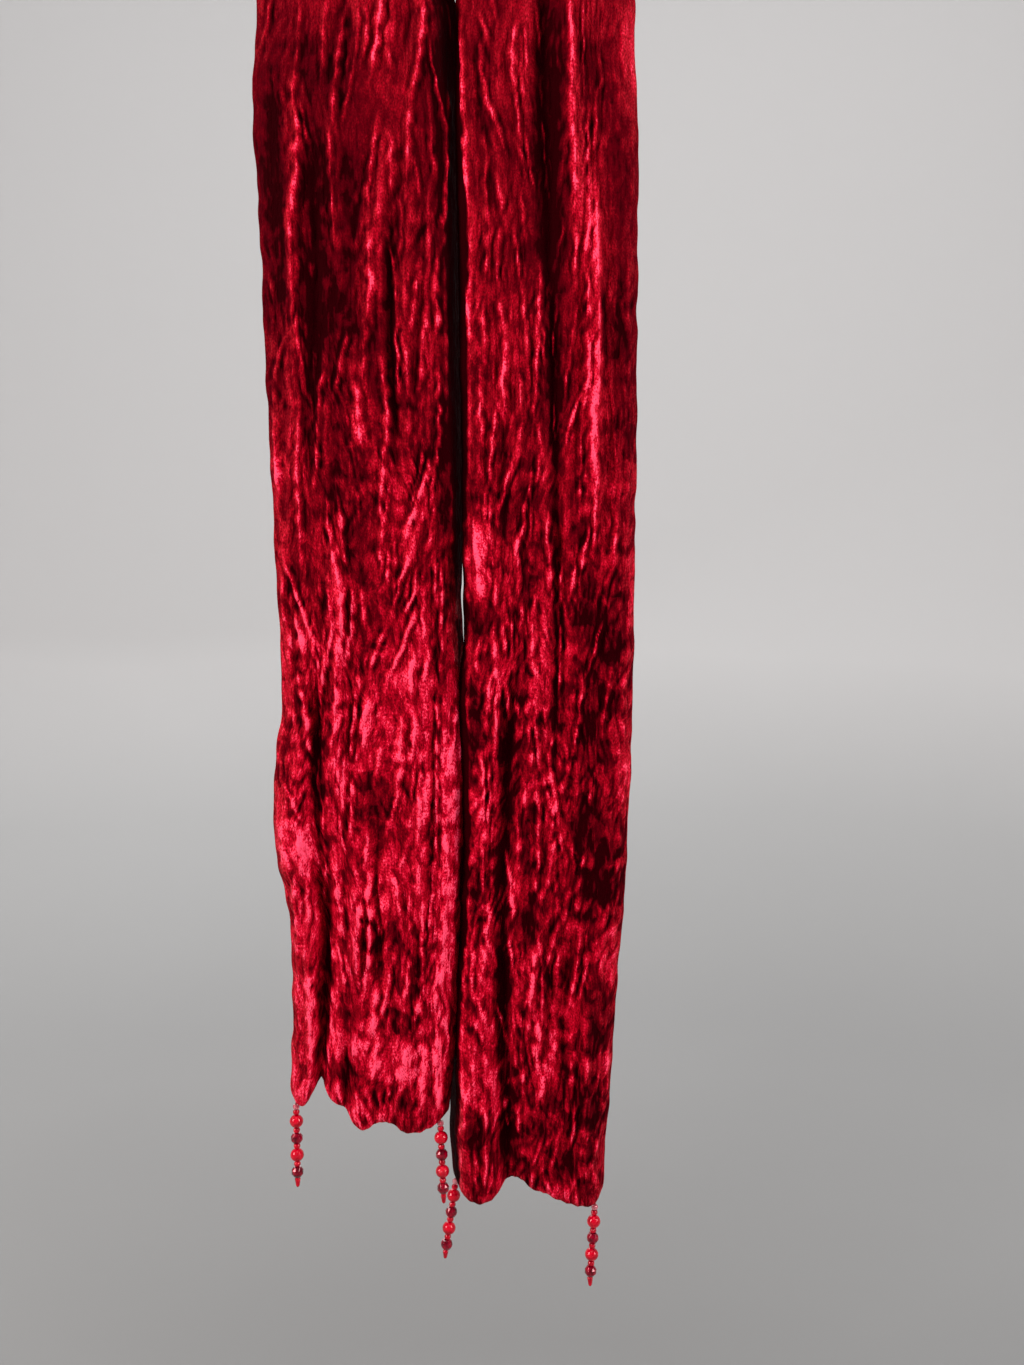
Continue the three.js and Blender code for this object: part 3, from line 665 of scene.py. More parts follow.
RIGHT_FRONT = table(
    "top bottom x_top x_mid x_bottom deep wide",
    (184, 240, 3, 5, 6, 1.9, 2.4),
    (220, 306, 5, 6, 10, 2.4, 3.0),
    (184, 206, 20, 21, 23, 1.4, 2.0),
    (194, 220, 12, 17, 20, 1.4, 2.4),
    (204, 248, 12, 15, 17, 1.4, 2.8),
    (236, 276, 16, 23, 31, 2.0, 2.8),
    (196, 240, 35, 31, 32, 2.4, 3.0),
    (228, 268, 32, 34, 36, 2.1, 2.2),
    (198, 232, 37, 38, 38, 1.6, 1.8),
    (226, 244, 36, 37, 38, 1.5, 1.8),
    (190, 220, 43, 45, 46, 1.6, 1.8),
    (222, 300, 46, 48, 52, 1.5, 2.0),
    (208, 228, 55, 55, 55, 1.2, 1.8),
    (254, 292, 37, 40, 43, 1.7, 2.0),
    (264, 284, 35, 37, 39, 1.4, 2.2),
    (250, 306, 16, 17, 17, 1.5, 2.4),
    (274, 310, 22, 25, 28, 1.8, 2.6),
    (282, 322, 35, 37, 39, 1.4, 2.4),
    (180, 262, 61, 62, 62, 2.8, 2.8),
    (244, 304, 62, 64, 63, 2.4, 3.0),
    (180, 244, 68, 68, 69, 1.9, 1.5),
    (238, 292, 71, 71, 72, 2.2, 2.0),
    (244, 272, 76, 75, 74, 1.9, 3.0),
    (272, 332, 73, 72, 69, 2.6, 3.0),
    (272, 344, 75, 76, 77, 2.6, 3.0),
    (226, 256, 79, 76, 74, 1.5, 2.6),
    (186, 240, 94, 95, 95, 2.0, 3.0),
    (292, 346, 18, 18, 16, 1.9, 2.8),
    (302, 344, 25, 23, 24, 1.8, 2.8),
    (302, 344, 31, 34, 37, 1.8, 2.4),
    (320, 362, 46, 46, 44, 2.6, 3.0),
    (350, 424, 45, 44, 41, 2.2, 2.6),
    (328, 370, 8, 8, 9, 2.3, 3.0),
    (342, 384, 15, 16, 18, 1.8, 2.6),
    (336, 376, 24, 26, 29, 2.3, 3.2),
    (362, 416, 28, 26, 27, 2.7, 3.6),
    (334, 380, 36, 38, 40, 2.0, 2.2),
    (354, 380, 48, 48, 48, 1.9, 1.8),
    (338, 386, 55, 54, 54, 1.9, 1.8),
    (300, 326, 59, 57, 54, 1.5, 2.2),
    (302, 342, 65, 65, 64, 2.4, 2.2),
    (332, 402, 77, 78, 77, 3.0, 3.2),
    (386, 446, 77, 75, 78, 3.0, 3.6),
    (326, 362, 71, 72, 70, 2.3, 2.6),
    (354, 412, 72, 72, 69, 2.6, 2.8),
    (400, 470, 70, 68, 68, 2.4, 2.6),
    (340, 410, 67, 62, 58, 1.6, 2.2),
    (388, 428, 71, 63, 59, 2.1, 2.2),
    (384, 424, 54, 54, 54, 1.7, 1.4),
    (396, 448, 45, 46, 44, 2.1, 2.6),
    (376, 430, 14, 14, 16, 2.4, 3.0),
    (392, 452, 25, 20, 18, 2.3, 2.6),
    (372, 440, 34, 36, 33, 2.1, 3.0),
    (380, 446, 5, 5, 6, 1.6, 2.2),
    (414, 444, 12, 13, 14, 2.0, 3.2),
    (410, 464, 36, 29, 22, 2.6, 3.4),
    (448, 512, 11, 12, 15, 2.8, 3.6),
    (442, 466, 16, 16, 16, 1.7, 2.0),
    (446, 490, 19, 19, 21, 2.1, 2.6),
    (466, 512, 6, 6, 8, 2.0, 2.6),
    (424, 476, 42, 41, 41, 1.8, 1.8),
    (436, 502, 40, 36, 27, 2.6, 3.0),
    (448, 514, 51, 51, 55, 2.5, 2.8),
    (418, 448, 72, 71, 70, 2.2, 3.2),
    (430, 488, 78, 76, 77, 2.2, 2.4),
    (456, 500, 74, 71, 67, 2.5, 2.4),
    (480, 514, 67, 64, 61, 1.9, 2.2),
    (448, 494, 88, 88, 85, 2.5, 3.0),
    (484, 512, 58, 58, 58, 2.3, 2.8),
    (486, 512, 24, 22, 21, 2.1, 2.8),
    (460, 508, 33, 34, 34, 1.9, 2.4),
    (492, 560, 45, 42, 46, 2.6, 3.2),
    (502, 578, 56, 58, 57, 2.2, 2.4),
    (508, 546, 31, 31, 31, 1.8, 2.0),
    (504, 526, 36, 36, 36, 1.6, 1.8),
    (508, 558, 20, 21, 24, 2.2, 2.6),
    (514, 540, 26, 27, 27, 1.7, 2.4),
    (512, 552, 83, 77, 71, 2.4, 2.4),
    (524, 550, 13, 12, 12, 1.9, 2.4),
    (524, 546, 9, 7, 6, 1.6, 2.2),
    (538, 580, 21, 18, 16, 2.6, 3.6),
    (550, 606, 22, 22, 21, 2.5, 2.6),
    (550, 578, 27, 29, 31, 2.0, 2.6),
    (552, 580, 34, 35, 37, 1.7, 2.4),
    (546, 612, 45, 44, 49, 2.8, 3.2),
    (572, 602, 40, 41, 43, 1.8, 2.2),
    (568, 598, 53, 53, 52, 1.7, 2.4),
    (588, 636, 50, 54, 58, 2.4, 2.6),
    (538, 608, 71, 68, 61, 1.9, 2.4),
    (542, 588, 86, 83, 81, 2.4, 2.8),
    (578, 640, 13, 15, 15, 2.9, 3.2),
    (580, 646, 17, 18, 17, 2.0, 2.0),
    (626, 690, 14, 15, 13, 2.8, 3.6),
    (596, 686, 44, 46, 43, 2.5, 2.4),
    (604, 634, 38, 38, 38, 1.9, 3.0),
    (618, 666, 34, 34, 37, 2.2, 2.8),
    (632, 700, 24, 30, 32, 2.7, 3.0),
    (606, 638, 50, 53, 55, 2.0, 2.4),
    (620, 652, 56, 58, 60, 2.0, 3.0),
    (632, 682, 57, 52, 48, 2.7, 4.4),
    (632, 664, 64, 65, 66, 1.8, 3.0),
    (600, 626, 77, 75, 75, 1.5, 2.4),
    (600, 628, 67, 67, 66, 1.4, 3.0),
    (644, 678, 72, 70, 67, 1.9, 2.6),
    (676, 746, 12, 8, 9, 2.3, 2.8),
    (664, 732, 18, 17, 12, 2.6, 3.2),
    (732, 802, 10, 9, 9, 2.5, 4.0),
    (726, 766, 11, 13, 14, 2.2, 4.0),
    (682, 728, 29, 30, 34, 2.5, 2.8),
    (700, 768, 43, 42, 38, 2.8, 3.4),
    (682, 722, 59, 54, 49, 2.3, 3.6),
    (706, 756, 49, 48, 48, 2.1, 2.8),
    (698, 736, 57, 57, 56, 2.0, 3.0),
    (680, 748, 71, 68, 62, 2.7, 2.8),
    (708, 738, 74, 72, 69, 1.9, 2.0),
    (738, 784, 45, 46, 45, 2.6, 3.2),
    (740, 772, 55, 56, 54, 2.0, 4.0),
    (752, 796, 36, 37, 39, 2.6, 2.8),
    (732, 770, 21, 25, 29, 2.0, 2.4),
    (764, 800, 51, 49, 46, 2.1, 4.4),
    (762, 790, 67, 66, 66, 1.9, 3.0),
    (760, 812, 86, 85, 83, 2.2, 3.4),
    (780, 858, 15, 16, 15, 2.7, 3.0),
    (784, 818, 4, 4, 4, 1.9, 2.6),
    (792, 824, 26, 28, 29, 1.9, 2.2),
    (794, 822, 35, 35, 35, 2.0, 2.2),
    (784, 832, 70, 67, 63, 2.4, 2.4),
    (820, 856, 46, 43, 41, 2.0, 2.6),
    (824, 858, 48, 50, 57, 2.2, 2.8),
    (820, 858, 8, 10, 11, 1.9, 2.4),
    (812, 838, 56, 56, 54, 1.8, 2.6),
    (836, 864, 66, 68, 71, 2.0, 4.0),
    (812, 858, 79, 78, 79, 1.9, 3.4),
    (190, 300, 54, 55, 56, -1.0, 5.0),
    (190, 290, 86, 86, 85, -0.8, 6.0),
    (300, 400, 60, 58, 56, -1.0, 5.0),
    (300, 400, 87, 88, 88, -0.9, 5.0),
    (620, 690, 79, 82, 83, -1.0, 8.0),
    (636, 680, 21, 21, 23, -1.1, 3.0),
    (690, 750, 24, 26, 30, -1.2, 4.0),
    (736, 790, 80, 79, 77, -0.9, 6.0),
    (812, 850, 24, 25, 27, -1.2, 6.0),
    (800, 850, 62, 64, 65, -1.0, 5.0),
)
# The backs are out of view: their creases are like the fronts'
LEFT_BACK = table(
    "top bottom x_top x_mid x_bottom deep wide",
    (184, 262, -92, -90, -94, 2.2, 3.4),
    (190, 300, -77, -80, -76, 2.5, 3.8),
    (180, 250, -62, -60, -64, 1.8, 2.8),
    (200, 286, -46, -50, -47, 2.6, 3.6),
    (184, 260, -30, -27, -31, 2.0, 3.0),
    (210, 300, -15, -18, -14, 2.3, 3.2),
    (262, 348, -98, -95, -97, 1.9, 3.0),
    (280, 372, -85, -88, -84, 2.6, 4.0),
    (270, 340, -66, -64, -69, 2.1, 2.8),
    (300, 402, -55, -58, -53, 2.8, 3.8),
    (276, 350, -38, -36, -40, 1.9, 2.6),
    (310, 398, -24, -27, -23, 2.4, 3.2),
    (330, 420, -9, -11, -10, 1.8, 2.4),
    (372, 452, -92, -89, -93, 2.4, 3.4),
    (360, 430, -74, -77, -73, 2.0, 3.0),
    (404, 486, -62, -65, -60, 2.7, 3.6),
    (396, 470, -43, -40, -46, 2.2, 3.0),
    (412, 492, -30, -34, -36, 2.5, 3.2),
    (430, 516, -14, -18, -24, 2.3, 3.0),
    (462, 530, -84, -86, -82, 2.2, 3.2),
    (478, 560, -71, -68, -72, 2.6, 3.6),
    (490, 566, -52, -55, -58, 2.3, 3.0),
    (500, 590, -40, -44, -41, 2.0, 2.8),
    (520, 610, -21, -24, -20, 2.6, 3.8),
    (540, 612, -91, -88, -90, 2.1, 3.2),
    (560, 650, -79, -77, -80, 2.5, 3.4),
    (580, 662, -62, -66, -63, 2.7, 3.8),
    (600, 676, -49, -46, -50, 2.0, 2.8),
    (610, 704, -33, -36, -32, 2.5, 3.4),
    (620, 700, -12, -10, -13, 2.2, 3.0),
    (650, 736, -92, -94, -91, 2.3, 3.6),
    (668, 756, -74, -71, -75, 2.6, 3.6),
    (690, 780, -57, -60, -56, 2.4, 3.2),
    (706, 796, -42, -39, -43, 2.3, 3.4),
    (716, 800, -25, -28, -24, 2.6, 3.6),
    (730, 806, -8, -11, -9, 1.9, 2.8),
    (752, 806, -90, -88, -89, 2.2, 3.4),
    (760, 812, -68, -66, -67, 2.2, 3.4),
)
RIGHT_BACK = table(
    "top bottom x_top x_mid x_bottom deep wide",
    (184, 280, 88, 86, 89, 2.3, 3.4),
    (190, 270, 74, 77, 73, 2.0, 3.0),
    (180, 264, 60, 57, 61, 2.6, 3.8),
    (204, 300, 43, 46, 42, 2.2, 3.2),
    (186, 262, 29, 26, 30, 1.9, 2.8),
    (220, 310, 13, 16, 12, 2.5, 3.4),
    (276, 366, 93, 90, 92, 2.0, 3.0),
    (290, 380, 79, 82, 78, 2.7, 3.8),
    (282, 350, 65, 62, 66, 1.9, 2.8),
    (312, 410, 51, 54, 50, 2.5, 3.4),
    (320, 396, 34, 31, 35, 2.2, 3.2),
    (330, 426, 20, 23, 19, 2.6, 3.6),
    (376, 470, 88, 91, 87, 2.4, 3.4),
    (392, 470, 70, 67, 72, 2.1, 3.0),
    (418, 506, 57, 60, 55, 2.7, 3.6),
    (410, 486, 41, 38, 42, 2.0, 2.8),
    (440, 536, 26, 30, 24, 2.4, 3.4),
    (450, 530, 10, 13, 9, 2.2, 3.0),
    (484, 566, 82, 79, 84, 2.3, 3.2),
    (500, 596, 66, 69, 65, 2.6, 3.8),
    (520, 600, 47, 44, 49, 2.0, 3.0),
    (548, 640, 34, 37, 33, 2.5, 3.4),
    (556, 636, 16, 13, 17, 2.3, 3.2),
    (586, 676, 89, 86, 88, 2.4, 3.6),
    (610, 700, 73, 76, 72, 2.2, 3.2),
    (620, 716, 56, 53, 58, 2.7, 3.8),
    (652, 740, 40, 43, 39, 2.1, 3.0),
    (660, 756, 22, 19, 24, 2.5, 3.4),
    (690, 780, 84, 81, 83, 2.3, 3.2),
    (712, 800, 66, 69, 65, 2.4, 3.6),
    (730, 826, 49, 46, 50, 2.6, 3.4),
    (756, 846, 33, 36, 32, 2.0, 3.2),
    (770, 854, 12, 9, 13, 2.4, 3.4),
    (796, 858, 76, 74, 77, 2.2, 3.4),
    (806, 854, 60, 58, 61, 2.1, 3.2),
)
CREASES = {
    (LEFT, "front"): LEFT_FRONT,
    (LEFT, "back"): LEFT_BACK,
    (RIGHT, "front"): RIGHT_FRONT,
    (RIGHT, "back"): RIGHT_BACK,
}
# Finer gathers over the loop, as in the table of its large ones
FINE_GATHERS = {
    "front": table(
        "left right across deep wide",
        (150, 200, -0.62, 1.8, 5),
        (210, 120, -0.3, -1.6, 4),
        (120, 170, 0.05, 1.9, 5),
        (180, 150, 0.38, 1.7, 4),
        (140, 190, 0.7, -1.6, 4),
    ),
    "back": table(
        "left right across deep wide",
        (180, 140, -0.7, 1.8, 5),
        (130, 190, -0.38, 1.7, 5),
        (200, 160, -0.05, -1.6, 4),
        (150, 130, 0.3, 1.8, 5),
        (170, 200, 0.62, 1.6, 4),
    ),
}
# Patches where the pile is pressed so that it shines (bright above 0) or looks almost black, by
# their middle and half their size. Their colour is partly the crushed pile's own tone and partly
# painted sheen and painted shade, as along the inner edges.
LEFT_PATCHES = table(
    "x drop wide high bright",
    (-96, 270, 8, 90, -0.9),
    (-76, 320, 9, 110, -0.9),
    (-54, 300, 6, 50, -0.8),
    (-3, 250, 9, 110, -1.4),
    (-3, 420, 6, 110, -1.4),
    (-85, 262, 5, 40, 1.0),
    (-41, 212, 6, 22, 0.9),
    (-24, 245, 5, 25, 0.8),
    (-12, 340, 7, 60, 0.8),
    (-48, 340, 5, 30, 0.9),
    (-97, 430, 6, 26, 0.9),
    (-86, 430, 5, 30, 0.7),
    (-52, 408, 5, 16, 0.9),
    (-66, 350, 12, 40, -0.5),
    (-65, 500, 5, 32, 1.1),
    (-28, 462, 8, 16, 0.8),
    (-14, 470, 6, 16, 0.9),
    (-82, 500, 12, 14, -0.7),
    (-53, 480, 8, 26, -0.8),
    (-52, 540, 5, 16, -0.8),
    (-84, 530, 7, 16, 0.8),
    (-25, 545, 10, 22, 1.1),
    (-48, 570, 7, 12, 0.9),
    (-30, 590, 10, 12, 0.9),
    (-62, 605, 7, 14, 1.0),
    (-58, 540, 6, 18, 0.7),
    (-80, 600, 6, 40, -1.0),
    (-48, 620, 10, 18, -1.1),
    (-91, 645, 9, 16, 1.5),
    (-96, 608, 4, 9, -1.0),
    (-4, 600, 7, 40, 0.9),
    (-76, 660, 5, 20, 0.6),
    (-50, 675, 8, 16, 0.9),
    (-33, 672, 8, 12, 0.7),
    (-38, 690, 7, 12, -0.8),
    (-74, 652, 3, 20, -1.0),
    (-7, 700, 7, 50, 1.1),
    (-80, 715, 4, 40, -1.2),
    (-44, 715, 7, 12, -0.9),
    (-24, 720, 4, 14, -0.9),
    (-62, 738, 6, 16, -1.3),
    (-87, 735, 6, 26, 0.7),
    (-46, 736, 6, 14, 0.8),
    (-31, 752, 10, 9, -1.3),
    (-74, 750, 5, 16, 0.6),
    (-60, 762, 5, 8, 0.8),
    (-47, 768, 8, 14, 1.0),
    (-22, 775, 16, 16, 1.2),
    (-64, 780, 8, 8, -1.2),
    (-47, 788, 4, 8, -1.1),
    (-33, 794, 7, 10, -1.3),
    (-60, 800, 9, 7, 0.8),
    (-12, 800, 8, 12, 0.7),
)
RIGHT_PATCHES = table(
    "x drop wide high bright",
    (52, 240, 9, 60, -1.3),
    (55, 330, 8, 60, -1.0),
    (55, 400, 8, 30, -0.8),
    (90, 320, 6, 60, -0.7),
    (80, 230, 9, 30, -0.6),
    (62, 225, 4, 50, 0.9),
    (72, 300, 7, 34, 1.3),
    (75, 400, 7, 60, 1.4),
    (94, 215, 5, 40, 0.9),
    (7, 260, 4, 40, 0.9),
    (14, 225, 8, 30, -0.5),
    (42, 270, 5, 40, -0.8),
    (26, 385, 5, 26, 0.9),
    (10, 350, 6, 12, 0.7),
    (15, 400, 5, 20, 0.6),
    (90, 400, 8, 40, -0.6),
    (66, 460, 7, 30, -0.8),
    (12, 480, 8, 20, 1.1),
    (28, 455, 7, 16, -0.6),
    (33, 480, 5, 14, 0.7),
    (87, 470, 5, 18, 0.9),
    (72, 515, 14, 20, -1.1),
    (10, 518, 9, 9, -1.2),
    (88, 530, 8, 16, -0.9),
    (97, 500, 3, 30, 0.9),
    (44, 530, 6, 24, 0.6),
    (20, 555, 6, 16, 1.1),
    (10, 575, 6, 30, -1.2),
    (37, 545, 4, 16, -0.9),
    (76, 575, 12, 34, -1.1),
    (46, 570, 5, 20, 0.8),
    (31, 600, 8, 26, -1.0),
    (15, 620, 5, 36, 1.2),
    (94, 605, 8, 18, 0.9),
    (78, 640, 12, 30, -1.1),
    (7, 640, 6, 40, -1.5),
    (54, 650, 6, 14, 1.2),
    (23, 665, 5, 40, -1.2),
    (31, 668, 4, 18, 1.0),
    (36, 692, 7, 14, -1.2),
    (46, 685, 5, 14, -0.7),
    (80, 672, 10, 14, -0.9),
    (14, 700, 6, 30, 0.9),
    (27, 725, 6, 20, -1.5),
    (42, 722, 5, 16, 1.1),
    (64, 725, 6, 18, 0.9),
    (76, 740, 6, 24, -0.9),
    (86, 715, 6, 18, 0.4),
    (12, 760, 8, 30, 1.1),
    (84, 750, 6, 14, -0.9),
    (46, 765, 9, 20, 1.1),
    (60, 790, 8, 10, -0.8),
    (85, 782, 4, 14, 1.0),
    (13, 795, 8, 12, 0.9),
    (7, 815, 6, 8, -1.1),
    (27, 825, 9, 16, -1.4),
    (34, 790, 3, 30, -1.3),
    (62, 835, 10, 12, -1.2),
    (75, 800, 8, 14, -0.8),
    (60, 855, 14, 5, 1.0),
    (44, 812, 8, 10, -0.6),
)
LEFT_BACK_PATCHES = table(
    "x drop wide high bright",
    (-90, 240, 10, 40, -0.8),
    (-48, 260, 9, 50, 0.8),
    (-20, 300, 8, 40, -0.8),
    (-70, 360, 10, 40, 0.9),
    (-88, 430, 9, 30, -0.9),
    (-34, 440, 10, 30, 1.0),
    (-60, 520, 9, 30, -0.9),
    (-84, 560, 9, 26, 0.9),
    (-24, 570, 9, 34, 0.8),
    (-50, 630, 10, 26, 1.0),
    (-80, 670, 8, 30, -1.0),
    (-22, 690, 9, 26, -0.9),
    (-60, 750, 10, 24, 0.9),
    (-30, 780, 9, 18, -0.9),
)
RIGHT_BACK_PATCHES = table(
    "x drop wide high bright",
    (84, 250, 9, 40, 0.8),
    (50, 270, 10, 46, -0.9),
    (20, 310, 9, 40, 0.8),
    (70, 380, 10, 40, -0.9),
    (36, 430, 9, 34, 0.9),
    (88, 480, 8, 30, 0.8),
    (60, 540, 10, 30, 1.0),
    (22, 560, 9, 30, -1.0),
    (82, 610, 9, 30, -0.9),
    (46, 660, 9, 28, -0.8),
    (18, 710, 9, 30, 0.9),
    (72, 740, 10, 26, 1.0),
    (44, 790, 10, 22, -0.9),
    (74, 830, 9, 16, -0.8),
)
PATCHES = {
    (LEFT, "front"): LEFT_PATCHES,
    (LEFT, "back"): LEFT_BACK_PATCHES,
    (RIGHT, "front"): RIGHT_PATCHES,
    (RIGHT, "back"): RIGHT_BACK_PATCHES,
}
SALT = dict(front=3.0, back=9.0)


# Slow changes in the pile's shine, by the distance between them across and along
SHINE_WIDE, SHINE_LONG = 26, 44
# The painted shade of an inner edge begins over this length
DARK_START = 1.5
# How sharply the cloth's height is kept from going under its least
KNEE = 2.5


def stand_off(face, side, across, along, points):
    """How far the outer skin of the cloth stands off the middle of its two layers."""
    place = across * MIDDLE_TO_EDGE
    height = crinkle(place, along, SALT[face], crush(side, points))
    if side:
        height = height + creases(CREASES[side, face], points[..., 0], -points[..., 2])
    else:
        for row in rows_of(FINE_GATHERS[face]):
            strength = fade(along, -row["left"], row["right"])
            height = height + row["deep"] * strength * ridge(
                (across - row["across"]) * MIDDLE_TO_EDGE, row["wide"]
            )
    height = LEAST + np.logaddexp(0, KNEE * (LAYER + height - LEAST)) / KNEE
    edge = smoothstep((1 - np.abs(across)) * MIDDLE_TO_EDGE / EDGE_FADE)
    return lerp(EDGE_HALF, height, edge)


def nap_and_painted_light(face, side, points, along, across):
    """How the pile's colour is lightened or darkened: its crushed nap in slow changes and patches,
    with painted sheen and shade in the patches, painted shade where the inner edges roll away and a
    painted highlight beside it.
    """
    place = across * MIDDLE_TO_EDGE / SHINE_WIDE
    shine = 0.5 * noise(place + 40 + SALT[face], along / SHINE_LONG)
    if side:
        x, drop = points[..., 0], -points[..., 2]
        shade = ARMS[side]["shade"]
        dark, wide, lift = (
            np.interp(drop, shade["drop"], shade[key]) for key in ("dark", "wide", "lift")
        )
        # Painted shade, almost black, where the inner edge rolls back out of the light, and a
        # painted highlight (the rim) beside it
        from_inner = (1 - across) * MIDDLE_TO_EDGE - wide
        painted_edge_shade = smoothstep(0.5 - from_inner / DARK_START)
        rim = ridge(from_inner - RIM, RIM) * (1 + 0.8 * noise(drop / 9, from_inner * 0 + side))
        shine = shine + lift + dark * (0.4 * rim - painted_edge_shade)
        # Each patch lightens or darkens the pile: partly its own crushed tone, partly painted sheen
        # and painted shade
        for row in rows_of(PATCHES[side, face]):
            aside, below = (x - row["x"]) / row["wide"], (drop - row["drop"]) / row["high"]
            shine = shine + row["bright"] * np.exp(-(aside**2 + below**2))
    return shine


# One turn round the tube of cloth: columns of the front, the back and each rounded side. The outer
# skin is fine, and the inner one, which only closes the wall, has fewer columns and rows.
OUTER = dict(front=120, back=60, side=6)
INNER = dict(front=60, back=60, side=3)
LOOP_OUTER = dict(front=112, back=56, side=6)
LOOP_INNER = dict(front=56, back=56, side=3)
ROWS = 408
LOOP_ROWS = 248
COARSER = 3
# The inner skin lies this far off the middle of the two layers, and ends short of their edges and
# of the hem. Each stretch ends a hair inside the cut that it shares with the next.
LINING = 0.15
LINING_REACH = 0.96
LINING_STOP = 5.0
CUT = 0.03
# The hem rounds over in its last rows to a share of the cloth's height, and its line is puckered:
# the puckers' depth, how far up they show, and fine and broad ones by the distance between them
HEM_LENGTH = 6.0
HEM_ROWS = 9
HEM_LEAST = 0.12
SCALLOP = 0.9
SCALLOP_LENGTH = 12.0
FINE_PUCKERS, BROAD_PUCKERS = 4, 11
# Small steps across and along the cloth that give its slope
STEP_ACROSS, STEP_ALONG = 0.004, 0.2
UV_NAME = "cloth"
VALUES = ("relief_shading", "nap_and_painted_light", "crush")
# Rows and columns over which the height is averaged, and the weight of what stands above that,
# which paints highlights on the crests and shade in the valleys of the colour
RELIEFS = [((14, 6), 0.7), ((3, 1), 2.2)]


def softened(values, window):
    """Values of a grid, each averaged over its neighbours up to some rows and columns away."""
    for axis, steps in enumerate(window):
        width = [(steps + 1, steps) if axis == i else (0, 0) for i in (0, 1)]
        total = np.cumsum(np.pad(values, width, mode="edge"), axis)
        ahead, behind = ([slice(None)] * 2 for _ in range(2))
        ahead[axis], behind[axis] = slice(2 * steps + 1, None), slice(None, -2 * steps - 1)
        values = (total[tuple(ahead)] - total[tuple(behind)]) / (2 * steps + 1)
    return values


def joined_round(front, back, side):
    """Values of the front and the back as one turn, with steps between them over each side."""
    shares = np.arange(1, side) / side
    sides = [lerp(a[:, -1:], b[:, :1], shares) for a, b in ((front, back), (back, front))]
    return np.concatenate([front, sides[0], back, sides[1]], 1)


def skin(columns, middle, side, along, lining, hem):
    """One skin of the tube, a ring of points to a row, with the relief that paints its shading and
    the nap, with its painted light, of each point.
    """
    faces = {}
    wide = LINING_REACH if lining else 1
    for face, start in (("front", -wide), ("back", wide)):
        across, reach = np.meshgrid(np.linspace(start, -start, columns[face] + 1), along)
        points, outward = middle(across, reach)
        ways = [
            middle(across + STEP_ACROSS, reach)[0] - middle(across - STEP_ACROSS, reach)[0],
            middle(across, reach + STEP_ALONG)[0] - middle(across, reach - STEP_ALONG)[0],
        ]
        normal = unit(np.cross(*ways))
        normal = normal * np.sign((normal * outward).sum(-1, keepdims=True))
        from_edge = (1 - np.abs(across)) * MIDDLE_TO_EDGE
        near = smoothstep(1 - from_edge / EDGE_BAND)[..., None]
        out = unit(lerp(outward + np.zeros_like(points), normal, near))
        if lining:
            height = np.full_like(across, LINING)
        else:
            height = stand_off(face, side, across, reach, points)
        facing = 1 if face == "front" else -1
        folds = [fold_depth(arm, across, reach, MIDDLE_TO_EDGE) for arm in (LEFT, RIGHT)]
        total = height + facing * np.where(reach < 0, folds[0], folds[1])
        if hem:
            past = np.clip((np.abs(reach) - hem + HEM_LENGTH) / HEM_LENGTH, 0, 1)
            height = height * np.maximum(np.sqrt(1 - past**2), HEM_LEAST)
            place, flat = across * MIDDLE_TO_EDGE, 0 * across
            fine = noise(place / FINE_PUCKERS + 20, flat)
            broad = noise(place / BROAD_PUCKERS, 5 + flat)
            low = smoothstep((np.abs(reach) - hem + SCALLOP_LENGTH) / SCALLOP_LENGTH)
            inside = smoothstep(from_edge / SCALLOP_LENGTH)
            points[..., 2] -= SCALLOP * (fine + 0.6 * broad) * low * inside
        # Painted shade and highlights: the height above its local average lightens crests and
        # darkens valleys in the colour
        relief_shading = sum(weight * (total - softened(total, window)) for window, weight in RELIEFS)
        faces[face] = dict(
            points=points, out=out * facing, height=height, sideways=unit(ways[0]) * facing,
            relief_shading=relief_shading, nap_and_painted_light=nap_and_painted_light(face, side, points, reach, across), crush=crush(side, points),
        )
    front, back = faces["front"], faces["back"]
    rings = []
    for here, there in ((front, back), (back, front)):
        rings.append(here["points"] + here["out"] * here["height"][..., None])
        for share in np.arange(1, columns["side"]) / columns["side"]:
            size = lerp(here["height"][:, -1], there["height"][:, 0], share)[:, None]
            way = (
                math.cos(math.pi * share) * here["out"][:, -1]
                + math.sin(math.pi * share) * here["sideways"][:, -1]
            )
            rings.append((here["points"][:, -1] + size * way)[:, None])
    values = [joined_round(front[key], back[key], columns["side"]) for key in VALUES]
    return np.concatenate(rings, 1), values


def skin_faces(rows, around, first):
    """Corner numbers of the faces between the rings of a skin, and their places in its grid."""
    r, i = np.mgrid[0 : rows - 1, 0:around]
    grid = [(r, i), (r, i + 1), (r + 1, i + 1), (r + 1, i)]
    corners = np.stack([first + row * around + column % around for row, column in grid], -1)
    places = np.stack([np.stack(place, -1) for place in grid], -2)
    return corners.reshape(-1, 4).tolist(), places.reshape(-1, 2)


def closing_faces(columns, first):
    """Faces over the end of a skin, between its front and its back, which differ in columns."""
    front, back, side = columns["front"], columns["back"], columns["side"]
    around = front + back + 2 * side
    groups = math.gcd(front, back)
    f, b = front // groups, back // groups
    faces = []
    for g in range(groups):
        last = front + side + back - g * b
        faces.append([*range(g * f, (g + 1) * f + 1), *range(last - b, last + 1)])
    faces.append(list(range(front, front + side + 1)))
    faces.append([(front + side + back + k) % around for k in range(side + 1)])
    return [[first + i for i in face] for face in faces]


